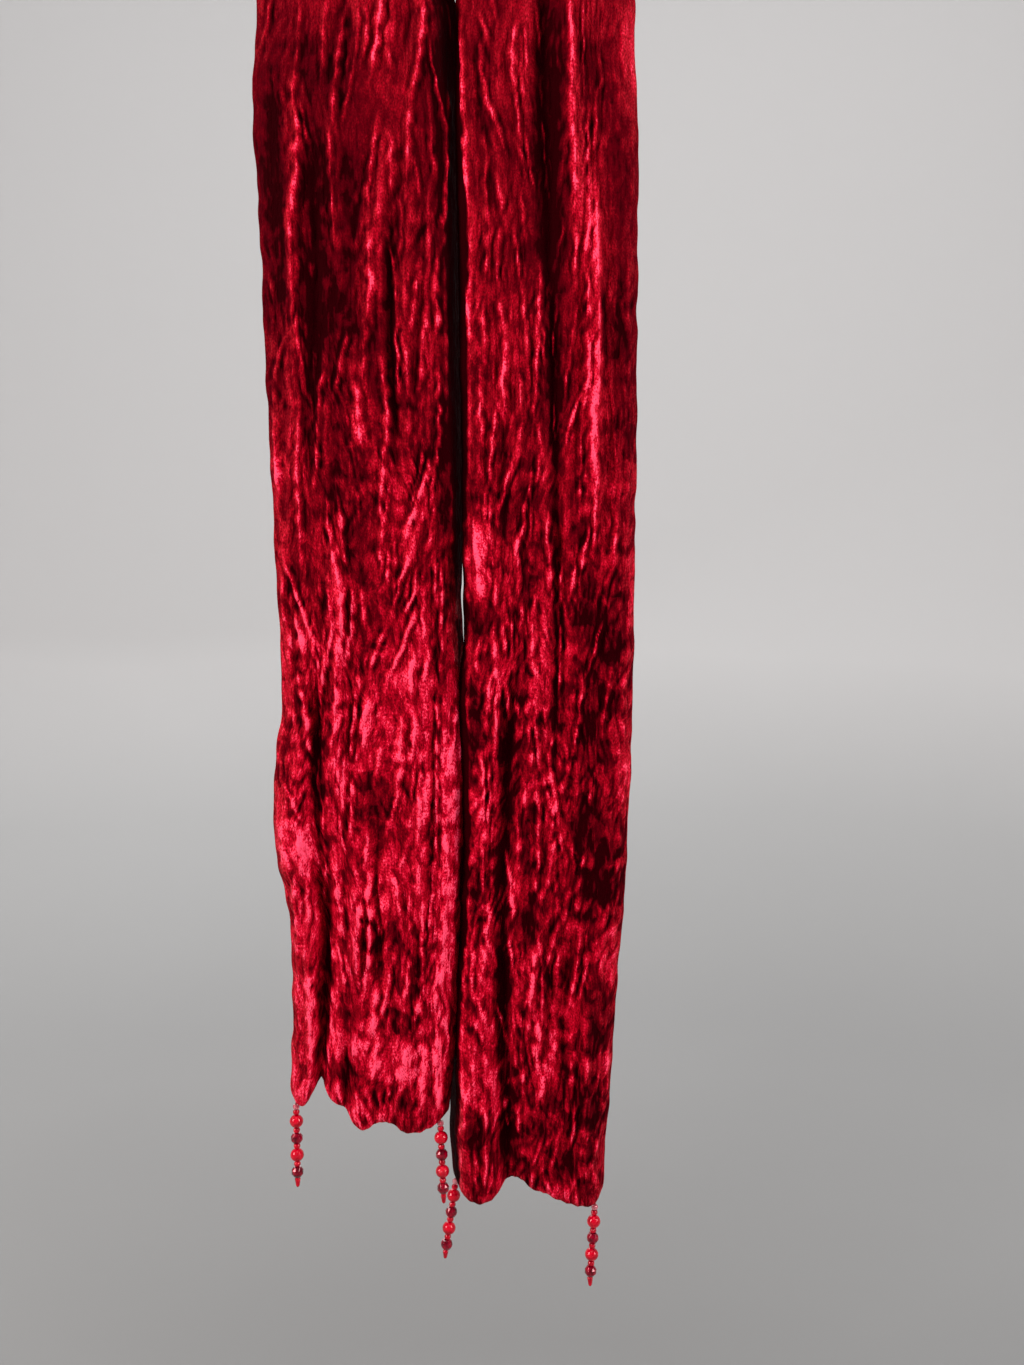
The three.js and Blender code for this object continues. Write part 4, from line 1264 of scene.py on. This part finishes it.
def lip_faces(finer, coarser, outer, inner):
    """Faces of the cloth's cut edge, from the outer skin to the inner one, which is less fine."""
    around = [
        columns["front"] + columns["back"] + 2 * columns["side"] for columns in (finer, coarser)
    ]
    faces = []
    place = 0
    for part in ("front", "side", "back", "side"):
        steps = finer[part] // coarser[part]
        for _ in range(coarser[part]):
            i = len(faces)
            outside = [outer + (place + step) % around[0] for step in range(steps + 1)]
            faces.append(outside + [inner + (i + 1) % around[1], inner + i])
            place += steps
    return faces


def cloth_uv(rings, along):
    """Length round the cloth and along it, in metres, at each place of a skin's grid."""
    ring = rings[len(rings) // 2]
    steps = np.linalg.norm(np.diff(ring, axis=0, append=ring[:1]), axis=1)
    round_it = np.concatenate([[0], np.cumsum(steps)])
    return np.stack(np.meshgrid(round_it, along), -1) * MM


def cloth(name, columns, middle, side, along, inner_along, hem):
    """A stretch of the scarf as a tube of cloth, open where it is cut, closed at its hem."""
    finer, coarser = columns
    outer, outer_values = skin(finer, middle, side, along, False, hem)
    inner, inner_values = skin(coarser, middle, side, inner_along, True, None)
    around = outer.shape[1]
    first = outer.shape[0] * around
    last = first - around, first + inner.shape[0] * inner.shape[1] - inner.shape[1]
    faces, places = skin_faces(len(outer), around, 0)
    inner_faces, inner_places = skin_faces(len(inner), inner.shape[1], first)
    faces += inner_faces
    uvs = [cloth_uv(outer, along), cloth_uv(inner, inner_along)]
    corner_uvs = [uvs[i][p[:, 0], p[:, 1]] for i, p in enumerate((places, inner_places))]
    if hem:
        extra = closing_faces(finer, last[0]) + closing_faces(coarser, last[1])
    else:
        extra = lip_faces(finer, coarser, *last)
    extra += lip_faces(finer, coarser, 0, first)
    vertex_uvs = np.concatenate([uv[:, :-1].reshape(-1, 2) for uv in uvs])
    corner_uvs.append(vertex_uvs[[i for face in extra for i in face]])
    points = np.concatenate([outer.reshape(-1, 3), inner.reshape(-1, 3)]) * MM
    mesh = bpy.data.meshes.new(name)
    mesh.from_pydata(points.tolist(), [], faces + extra)
    mesh.uv_layers.new(name=UV_NAME).data.foreach_set("uv", np.concatenate(corner_uvs).ravel())
    for key, *values in zip(VALUES, outer_values, inner_values):
        data = mesh.attributes.new(key, "FLOAT", "POINT").data
        data.foreach_set("value", np.concatenate([v.ravel() for v in values]))
    solid = bmesh.new()
    solid.from_mesh(mesh)
    bmesh.ops.recalc_face_normals(solid, faces=solid.faces)
    solid.to_mesh(mesh)
    solid.free()
    mesh.shade_smooth()
    piece = bpy.data.objects.new(name, mesh)
    bpy.context.collection.objects.link(piece)
    return piece


def linear(code):
    """A hex sRGB colour as the linear values a shader takes."""
    parts = [int(code[i : i + 2], 16) / 255 for i in (1, 3, 5)]
    return [c / 12.92 if c <= 0.04045 else ((c + 0.055) / 1.055) ** 2.4 for c in parts] + [1.0]


def add(material, kind, inputs=(), **settings):
    """A new node, with its settings, and its inputs set or linked."""
    tree = material.node_tree
    new = tree.nodes.new(kind)
    for name, value in settings.items():
        setattr(new, name, value)
    for name, value in dict(inputs).items():
        if isinstance(value, bpy.types.NodeSocket):
            tree.links.new(value, new.inputs[name])
        else:
            new.inputs[name].default_value = value
    return new


def ramp(material, factor, *stops):
    """A colour ramp through stops of a place and a hex colour or a grey value."""
    new = add(material, "ShaderNodeValToRGB", {"Fac": factor})
    elements = new.color_ramp.elements
    while len(elements) < len(stops):
        elements.new(0.5)
    for element, (place, colour) in zip(elements, stops):
        element.position = place
        element.color = linear(colour) if isinstance(colour, str) else [colour] * 3 + [1.0]
    return new.outputs["Color"]


def summed(material, *terms):
    """The sum of values, each times its weight, and a constant."""
    constant = [term for term in terms if not isinstance(term, tuple)][0]
    total = constant
    for value, weight in (term for term in terms if isinstance(term, tuple)):
        new = add(
            material, "ShaderNodeMath", {0: value, 1: weight, 2: total}, operation="MULTIPLY_ADD"
        )
        total = new.outputs[0]
    return total


def pattern(material, uv, size, detail=2.0, rough=0.5, warp=0.0):
    """Noise over the cloth with spots of a size in millimetres, round it and along it."""
    scale = [1 / (size[0] * MM), 1 / (size[1] * MM), 1]
    placed = add(material, "ShaderNodeMapping", {"Vector": uv, "Scale": scale})
    inputs = {"Vector": placed.outputs[0], "Scale": 1.0, "Detail": detail, "Roughness": rough}
    new = add(material, "ShaderNodeTexNoise", {**inputs, "Distortion": warp}, noise_dimensions="2D")
    return new.outputs["Fac"]


def new_material(name):
    """A material and its shader."""
    material = bpy.data.materials.new(name)
    material.use_nodes = True
    return material, material.node_tree.nodes["Principled BSDF"]


def connect(material, shader, **outputs):
    """Link outputs to the shader's inputs, which are named with _ for each space."""
    for name, output in outputs.items():
        material.node_tree.links.new(output, shader.inputs[name.replace("_", " ")])


def bump(material, height, strength, distance):
    """A bump of a height in millimetres."""
    inputs = {"Height": height, "Strength": strength, "Distance": distance * MM}
    return add(material, "ShaderNodeBump", inputs).outputs[0]


def mottle(material, place, per_mm, detail):
    """Noise in space with so many spots to a millimetre."""
    inputs = {"Vector": place, "Scale": per_mm / MM, "Detail": detail}
    return add(material, "ShaderNodeTexNoise", inputs).outputs["Fac"]


def velvet():
    """Crushed panne velvet of viscose pile on a knitted ground: the pile lies flat in patches,
    which shine bright crimson, and stands or leans away in others, which look like dark wine.
    Blotches are pressed areas and streaks are the fine crinkles. The colour also holds painted
    light:
    highlights on the crests and shade in the valleys, sheen and shade in the nap's patches and
    along the inner edges, and glints from the flecks. The glint of single tufts is finer than the
    flecks, which are as coarse as the render needs to show them."""
    material, shader = new_material("crushed_velvet")
    uv = add(material, "ShaderNodeUVMap", uv_map=UV_NAME).outputs[0]
    relief_shading, nap_light_and_shade, crushing = (
        add(material, "ShaderNodeAttribute", attribute_name=name).outputs["Fac"] for name in VALUES
    )
    blotches = pattern(material, uv, (10, 15), 4, 0.55, 0.3)
    streaks = pattern(material, uv, (2.2, 9), 1, 0.5, 0.25)
    flecks = pattern(material, uv, (0.9, 1.4), 1, 0.5)
    crushed = ramp(material, blotches, (0.44, 0.0), (0.54, 1.0))
    creased = ramp(material, streaks, (0.45, 0.0), (0.7, 1.0))
    pressed = summed(material, (crushed, 0.29), (creased, 0.16), -0.2)
    pressed = add(material, "ShaderNodeMath", {0: pressed, 1: crushing}, operation="MULTIPLY")
    # Painted light in the tone: the relief paints crest highlights and valley shade, and the nap
    # adds painted sheen and shade on top of the pile's own patches
    lit = summed(
        material,
        (relief_shading, 0.17), (nap_light_and_shade, 0.27), (pressed.outputs[0], 1.0), (crushing, 0.1), 0.31,
    )
    # Painted glints: the flecks brighten the pile the more it is painted lit
    painted_glints = summed(material, (flecks, 1.2), -0.6)
    painted_glints = add(material, "ShaderNodeMath", {0: painted_glints, 1: lit}, operation="MULTIPLY")
    tone = summed(material, (lit, 1.0), (painted_glints.outputs[0], 1.0), 0.0)
    colour = ramp(
        material, tone,
        (0.0, "#220003"), (0.1, "#400008"), (0.26, "#5a000b"), (0.44, "#7e0010"), (0.64, "#aa031e"),
        (0.86, "#da1a3c"), (1.0, "#fc4a6c"),
    )
    height = summed(material, (streaks, 0.7), (flecks, 0.2), 0.0)
    connect(
        material, shader,
        Base_Color=colour,
        Roughness=ramp(material, tone, (0.2, 0.75), (0.7, 0.45), (1.0, 0.34)),
        Specular_IOR_Level=ramp(material, tone, (0.2, 0.03), (0.55, 0.3), (0.95, 0.7)),
        Sheen_Weight=ramp(material, tone, (0.15, 0.0), (0.5, 0.22)),
        Normal=bump(material, height, 1.0, 1.6),
    )
    shader.inputs["Specular Tint"].default_value = linear("#ff1c34")
    shader.inputs["Sheen Roughness"].default_value = 0.35
    shader.inputs["Sheen Tint"].default_value = linear("#ff1a35")
    return material


def glass(name, clear, deep, see_through):
    """Red pressed glass: its colour is a little uneven and its polish has fine wear."""
    material, shader = new_material(name)
    place = add(material, "ShaderNodeTexCoord").outputs["Object"]
    clouds, wear = mottle(material, place, 0.3, 1.0), mottle(material, place, 1.8, 3.0)
    connect(
        material, shader,
        Base_Color=ramp(material, clouds, (0.35, deep), (0.65, clear)),
        Roughness=ramp(material, wear, (0.4, 0.02), (0.7, 0.07)),
        Normal=bump(material, clouds, 0.2, 0.1),
    )
    shader.inputs["IOR"].default_value = 1.52
    shader.inputs["Transmission Weight"].default_value = see_through
    shader.inputs["Specular Tint"].default_value = linear("#ff8f9c")
    shader.inputs["Coat Weight"].default_value = 0.25
    shader.inputs["Coat Roughness"].default_value = 0.02
    return material


def thread_fibre():
    """Two-ply waxed polyester thread, wine red."""
    material, shader = new_material("waxed_thread")
    place = add(material, "ShaderNodeTexCoord").outputs["Object"]
    fibres = mottle(material, place, 3.0, 3.0)
    connect(
        material, shader,
        Base_Color=ramp(material, fibres, (0.3, "#5c0512"), (0.7, "#a3142a")),
        Normal=bump(material, fibres, 0.6, 0.1),
    )
    shader.inputs["Roughness"].default_value = 0.55
    return material


# Lightens the whole backdrop
GRADE = 1.08


def paper():
    """Matt pale grey paper, with painted shade that darkens it lower down and towards the middle of
    the floor.
    """
    material, shader = new_material("backdrop_paper")
    place = add(material, "ShaderNodeTexCoord").outputs["Object"]
    height = add(material, "ShaderNodeSeparateXYZ", {"Vector": place}).outputs["Z"]
    flat = add(material, "ShaderNodeVectorMath", {0: place, 1: (1, 1, 0)}, operation="MULTIPLY")
    radius = add(material, "ShaderNodeVectorMath", {0: flat.outputs[0]}, operation="LENGTH")
    clouds = mottle(material, place, 0.0015, 2.0)
    # Painted shade: lighter higher up and farther out, darker low and near the middle of the floor
    painted_falloff = summed(material, (height, 0.62), (radius.outputs["Value"], 0.31), (clouds, 0.1), GRADE)
    greys = (0.0, "#838485"), (0.2, "#959697"), (0.6, "#a9aaab"), (0.9, "#c0c0c1")
    connect(material, shader, Base_Color=ramp(material, painted_falloff, *greys))
    shader.inputs["Roughness"].default_value = 0.9
    return material


def tail_rows(side):
    """Lengths along a tail for the rings of its outer skin and of its inner one."""
    start, end = ARMS[side]["start"] + CUT, ARMS[side]["end"]
    straight = np.linspace(start, end - HEM_LENGTH, ROWS - HEM_ROWS, endpoint=False)
    rounding = np.sin(np.linspace(0, math.pi / 2, HEM_ROWS + 1))
    outer = np.concatenate([straight, end - HEM_LENGTH * (1 - rounding)])
    inner = np.linspace(start, end - LINING_STOP, ROWS // COARSER + 1)
    return side * outer, side * inner


def build_cloth(material):
    """The three stretches of the scarf, each in place of its own solid."""
    pieces = {}
    for name, side in (("tail_left", LEFT), ("tail_right", RIGHT)):
        middle = partial(tail_middle, side)
        rows = tail_rows(side)
        hem = ARMS[side]["end"]
        pieces[name] = cloth(f"velvet_{name}", (OUTER, INNER), middle, side, *rows, hem)
    top = -ARMS[LEFT]["start"] + CUT, ARMS[RIGHT]["start"] - CUT
    rows = np.linspace(*top, LOOP_ROWS + 1), np.linspace(*top, LOOP_ROWS // COARSER + 1)
    columns = LOOP_OUTER, LOOP_INNER
    pieces["middle_loop"] = cloth("velvet_middle_loop", columns, loop_middle, 0, *rows, None)
    for name, piece in pieces.items():
        piece.data.materials.append(material)
        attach(piece, "root")
        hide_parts(name)
    return pieces


# The thread is flat, with a turn of its two plies to each pitch, and ends inside the tip
THREAD_RADIUS = 0.45
THREAD_FLAT = 0.62
THREAD_PITCH = 3.2
THREAD_STEPS = 150
INTO_HEM = 1.5
INSIDE_TIP = 1.5
# Beads of each drop, in the order they are threaded, and the tail, the place across its hem and the
# lean to +X in degrees of each drop
BORE_RADIUS = 1.0
SEED_BORE = 0.7
BEAD_GAP = 0.3
BEADS = {
    "seed": dict(radius=2.0, shoulder=1.35, height=3.0),
    "round": dict(radius=4.0, height=7.6),
    "cut": dict(radius=3.5, shoulder=2.2, height=6.0, waist=0.38),
    "tip": dict(radius=1.9, height=4.0, reach=2.4),
}
BEAD_ORDER = ["seed", "seed", "round", "seed", "cut", "seed", "round", "seed", "cut", "tip"]
DROPS = {
    "left_outer": dict(side=LEFT, across=-0.95, lean=0),
    "left_inner": dict(side=LEFT, across=0.93, lean=2),
    "right_inner": dict(side=RIGHT, across=1.0, lean=-8),
    "right_outer": dict(side=RIGHT, across=-0.92, lean=-3),
}


def fresh():
    """Start on a new piece, with nothing selected."""
    if bpy.context.mode != "OBJECT":
        bpy.ops.object.mode_set(mode="OBJECT")
    bpy.ops.object.select_all(action="DESELECT")


def edit(chosen):
    """Go into edit mode with the vertices of the active piece selected whose place is chosen."""
    bpy.ops.object.mode_set(mode="EDIT")
    bpy.ops.mesh.select_mode(type="VERT")
    bpy.ops.mesh.select_all(action="DESELECT")
    solid = bmesh.from_edit_mesh(bpy.context.object.data)
    for vertex in solid.verts:
        vertex.select = bool(chosen(vertex.co / MM))
    solid.select_flush_mode()
    bmesh.update_edit_mesh(bpy.context.object.data)


def pick_rings():
    """Select the open rings of the active piece, and nothing else."""
    bpy.ops.mesh.select_mode(type="EDGE")
    bpy.ops.mesh.select_all(action="DESELECT")
    solid = bmesh.from_edit_mesh(bpy.context.object.data)
    for edge in solid.edges:
        edge.select = edge.is_boundary
    solid.select_flush_mode()
    bmesh.update_edit_mesh(bpy.context.object.data)


def bisected(height, **clear):
    """Cut the whole piece at a height, and clear one side of it if asked."""
    bpy.ops.mesh.select_all(action="SELECT")
    bpy.ops.mesh.bisect(plane_co=(0, 0, height * MM), plane_no=(0, 0, 1), **clear)


def resized(*shares):
    """Scale what is selected about the piece's own origin."""
    bpy.ops.transform.resize(value=shares, center_override=(0, 0, 0))


def turned_facet(facets):
    """Turn what is selected by half a facet about the bore."""
    bpy.ops.transform.rotate(value=math.pi / facets, orient_axis="Z", center_override=(0, 0, 0))


def closed():
    """Leave edit mode with every face of the piece looking out."""
    bpy.ops.mesh.select_all(action="SELECT")
    bpy.ops.mesh.normals_make_consistent(inside=False)
    bpy.ops.object.mode_set(mode="OBJECT")


def bored(shoulder, bore):
    """Turn the open rings at both ends in to the bore, and line it."""
    pick_rings()
    if shoulder > bore:
        bpy.ops.mesh.extrude_edges_move()
        resized(bore / shoulder, bore / shoulder, 1)
        pick_rings()
    bpy.ops.mesh.bridge_edge_loops()
    closed()


def worn(bead, width, segments, angle):
    """Round off the edges that turn by more than an angle in degrees."""
    bevel = bead.modifiers.new("worn_edges", "BEVEL")
    bevel.width = width * MM
    bevel.segments = segments
    bevel.limit_method = "ANGLE"
    bevel.angle_limit = math.radians(angle)
    bpy.ops.object.modifier_apply(modifier=bevel.name)


def round_bead(name, radius, height, shoulder, bore, segments=32, rings=18):
    """A ball of glass, flattened a little and cut off at each end round the bore."""
    fresh()
    bpy.ops.mesh.primitive_uv_sphere_add(segments=segments, ring_count=rings, radius=radius * MM)
    bead = bpy.context.object
    bead.name = name
    squeeze = (height / 2) / math.sqrt(radius**2 - shoulder**2)
    edit(lambda co: True)
    resized(1, 1, squeeze)
    bisected(height / 2, clear_outer=True)
    bisected(-height / 2, clear_inner=True)
    bored(shoulder, bore)
    worn(bead, width=0.12, segments=2, angle=40)
    bpy.ops.object.shade_smooth()
    return bead


def cut_bead(name, radius, shoulder, height, waist, bore, facets=10):
    """A fire-polished bead: rings of facets, each turned by half a facet, round a straight bore."""
    fresh()
    bpy.ops.mesh.primitive_cylinder_add(
        vertices=facets, radius=radius * MM, depth=height * MM, end_fill_type="NOTHING"
    )
    bead = bpy.context.object
    bead.name = name
    belt = height / 2 * waist
    edit(lambda co: True)
    bisected(belt)
    bisected(-belt)
    bpy.ops.object.mode_set(mode="OBJECT")
    for end in (-1, 1):
        edit(lambda co, end=end: co.z * end > belt + 0.1)
        resized(shoulder / radius, shoulder / radius, 1)
        bpy.ops.object.mode_set(mode="OBJECT")
    edit(lambda co: abs(co.z - belt) < 0.05)
    turned_facet(facets)
    bpy.ops.object.mode_set(mode="OBJECT")
    edit(lambda co: co.z < -belt - 0.1)
    turned_facet(facets)
    bpy.ops.mesh.select_all(action="SELECT")
    bpy.ops.mesh.quads_convert_to_tris(quad_method="SHORTEST_DIAGONAL")
    bored(shoulder, bore)
    worn(bead, width=0.1, segments=1, angle=12)
    bpy.ops.object.shade_flat()
    return bead


# How the tip is drawn out: what lies below a share of its half height moves down by a share of its
# reach, and gets narrower
TIP_PULLS = [(0.3, 0.25), (-0.1, 0.35), (-0.55, 0.4)]
TIP_NARROWS = 0.86


def tip_bead(name, radius, height, reach):
    """A teardrop of glass that closes the drop: its point is down and reaches past its height."""
    fresh()
    bpy.ops.mesh.primitive_uv_sphere_add(segments=24, ring_count=14, radius=radius * MM)
    bead = bpy.context.object
    bead.name = name
    edit(lambda co: True)
    resized(1, 1, height / 2 / radius)
    bpy.ops.object.mode_set(mode="OBJECT")
    for below, share in TIP_PULLS:
        edit(lambda co, below=below: co.z < below * height / 2)
        bpy.ops.transform.translate(value=(0, 0, -share * reach * MM))
        resized(TIP_NARROWS, TIP_NARROWS, 1)
        bpy.ops.object.mode_set(mode="OBJECT")
    bpy.ops.object.shade_smooth()
    return bead


def thread_piece(name, length):
    """A two-ply thread, twisted, with its upper end at the origin."""
    fresh()
    bpy.ops.mesh.primitive_circle_add(vertices=12, radius=THREAD_RADIUS * MM)
    thread = bpy.context.object
    thread.name = name
    edit(lambda co: True)
    resized(1, THREAD_FLAT, 1)
    bpy.ops.transform.translate(value=(0, 0, -length * MM))
    bpy.ops.object.mode_set(mode="OBJECT")
    twist = thread.modifiers.new("twist", "SCREW")
    twist.axis = "Z"
    twist.screw_offset = length * MM
    twist.angle = 2 * math.pi * length / THREAD_PITCH
    twist.steps = twist.render_steps = THREAD_STEPS
    bpy.ops.object.modifier_apply(modifier=twist.name)
    bpy.ops.object.mode_set(mode="EDIT")
    pick_rings()
    bpy.ops.mesh.edge_face_add()
    closed()
    bpy.ops.object.shade_smooth()
    return thread


def put(piece, name, knot, lean, below, spin):
    """A copy of a bead on a drop, so far below its knot, with its place in its own mesh."""
    new = piece.copy()
    new.data = piece.data.copy()
    new.name = new.data.name = name
    bpy.context.collection.objects.link(new)
    way = math.radians(lean)
    new.location = Vector(knot) + below * MM * Vector((math.sin(way), 0, -math.cos(way)))
    new.rotation_euler = (0, -way, spin)
    new.rotation_mode = "XYZ"
    fresh()
    new.select_set(True)
    bpy.context.view_layer.objects.active = new
    bpy.ops.object.transform_apply(location=True, rotation=True, scale=True)
    return new


def knot_of(side, across):
    """Where a drop hangs: just under the lowest point of the hem beside it, in metres."""
    end = side * ARMS[side]["end"]
    beside = np.array([across - 0.02, across, across + 0.02])
    points, _ = tail_middle(side, beside, np.full(3, end), worn=False)
    return [points[1, 0] * MM, points[1, 1] * MM, (points[:, 2].min() - BEAD_GAP) * MM]


def build_drops():
    """The four drops of beads on their threads, each bead a piece of its own."""
    finishes = {
        "seed": glass("seed_bead_glass", "#c40020", "#8a0015", 0.12),
        "clear": glass("clear_bead_glass", "#f3a3ac", "#d9566a", 0.6),
        "round": glass("round_bead_glass", "#cf0022", "#a00018", 0.18),
        "cut": glass("cut_bead_glass", "#8e001f", "#4a000f", 0.08),
    }
    finishes["tip"] = finishes["seed"]
    fibre = thread_fibre()
    patterns = {
        "seed": round_bead("seed_pattern", bore=SEED_BORE, segments=20, rings=12, **BEADS["seed"]),
        "round": round_bead(
            "round_pattern", shoulder=BORE_RADIUS, bore=BORE_RADIUS, **BEADS["round"]
        ),
        "cut": cut_bead("cut_pattern", bore=BORE_RADIUS, **BEADS["cut"]),
        "tip": tip_bead("tip_pattern", **BEADS["tip"]),
    }
    length = INTO_HEM + sum(BEADS[kind]["height"] + BEAD_GAP for kind in BEAD_ORDER) - INSIDE_TIP
    patterns["thread"] = thread_piece("thread_pattern", length)
    drops = {}
    for name, drop in DROPS.items():
        knot = knot_of(drop["side"], drop["across"])
        node = f"beads_{name}_thread"
        thread = put(patterns["thread"], f"thread_{name}", knot, drop["lean"], -INTO_HEM, 0.0)
        thread.data.materials.append(fibre)
        pieces = [(thread, node, "seed_glass")]
        below = BEAD_GAP
        count = dict(seed=0, round=0, cut=0, tip=0)
        for kind in BEAD_ORDER:
            height = BEADS[kind]["height"]
            count[kind] += 1
            finish = finishes["clear" if kind == "seed" and count[kind] == 1 else kind]
            large = kind in ("round", "cut")
            title = f"{kind}_bead_{name}_{count[kind]}"
            spin = rng.uniform(0, 2 * math.pi)
            bead = put(patterns[kind], title, knot, drop["lean"], below + height / 2, spin)
            bead.data.materials.append(finish)
            of_node = f"beads_{name}_{kind}_{count[kind]}" if large else node
            pieces.append((bead, of_node, f"{kind}_glass" if large else "seed_glass"))
            below += height + BEAD_GAP
        for piece, of_node, finish in pieces:
            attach(piece, "root")
            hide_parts(of_node)
        drops[name] = [piece for piece, _, _ in pieces]
    for pattern_piece in patterns.values():
        bpy.data.objects.remove(pattern_piece)
    return drops


# The backdrop's size and the height of its middle, in metres
BOWL_RADIUS = 3.2
BOWL_DEPTH = 4.0
BOWL_MIDDLE = 0.8
BOWL_ROUND = 2.0


def build_stage(material):
    """A round floor that turns up into a wall, well outside every view's camera."""
    bpy.ops.mesh.primitive_cylinder_add(
        vertices=96, radius=BOWL_RADIUS, depth=BOWL_DEPTH, location=(0, 0, BOWL_MIDDLE)
    )
    bowl = bpy.context.object
    bowl.name = "backdrop"
    bpy.ops.object.mode_set(mode="EDIT")
    solid = bmesh.from_edit_mesh(bowl.data)
    near_end = BOWL_DEPTH / 2 - 0.1
    top = [f for f in solid.faces if f.calc_center_median().z > near_end]
    bmesh.ops.delete(solid, geom=top, context="FACES")
    rim = [e for e in solid.edges if all(v.co.z < -near_end for v in e.verts)]
    bmesh.ops.bevel(solid, geom=rim, offset=BOWL_ROUND, segments=24, affect="EDGES", profile=0.5)
    bmesh.ops.reverse_faces(solid, faces=solid.faces)
    bmesh.update_edit_mesh(bowl.data)
    bpy.ops.object.mode_set(mode="OBJECT")
    bpy.ops.object.shade_smooth()
    bowl.data.materials.append(material)


def soft_light(name, place, target, size, power, colour):
    """A soft box at a place in metres, aimed at a target, with its power in watts."""
    bpy.ops.object.light_add(type="AREA", location=place)
    light = bpy.context.object
    light.name = name
    light.data.shape = "RECTANGLE"
    light.data.size, light.data.size_y = size
    light.data.energy = power
    light.data.color = linear(colour)[:3]
    aim = Vector(target) - Vector(place)
    light.rotation_euler = aim.to_track_quat("-Z", "Y").to_euler()
    light.visible_camera = False


def build_lights():
    """A soft studio: a key from the left, a side light, small lamps for the beads, and a wall."""
    middle = (0, 0, -0.5)
    soft_light("key_light", (-1.6, -0.9, 0.1), middle, (0.5, 1.2), 46, "#fff6ee")
    soft_light("side_light", (1.6, -0.8, 0.1), middle, (0.4, 1.2), 30, "#fffaf5")
    soft_light("top_light", (0.0, -0.6, 1.7), middle, (1.6, 1.6), 14, "#ffffff")
    soft_light("back_light", (-0.6, 1.7, 0.5), middle, (0.8, 1.2), 12, "#ffffff")
    soft_light("front_lamp", (0.1, -2.2, -0.2), (0, 0, -0.75), (0.09, 0.09), 5, "#ffffff")
    soft_light("right_lamp", (1.5, -1.5, -0.3), (0, 0, -0.75), (0.09, 0.09), 6, "#ffffff")
    soft_light("wall_light", (0.1, 1.4, 1.2), (0.1, 3.2, -0.1), (2.4, 0.8), 26, "#fbf9f8")
    world = bpy.data.worlds.new("studio")
    world.use_nodes = True
    world.node_tree.nodes["Background"].inputs["Color"].default_value = linear("#c8c8cc")
    world.node_tree.nodes["Background"].inputs["Strength"].default_value = 0.25
    bpy.context.scene.world = world
    bpy.context.scene.view_settings.view_transform = "Standard"


cloth_pieces = build_cloth(velvet())
bead_drops = build_drops()
build_stage(paper())
build_lights()
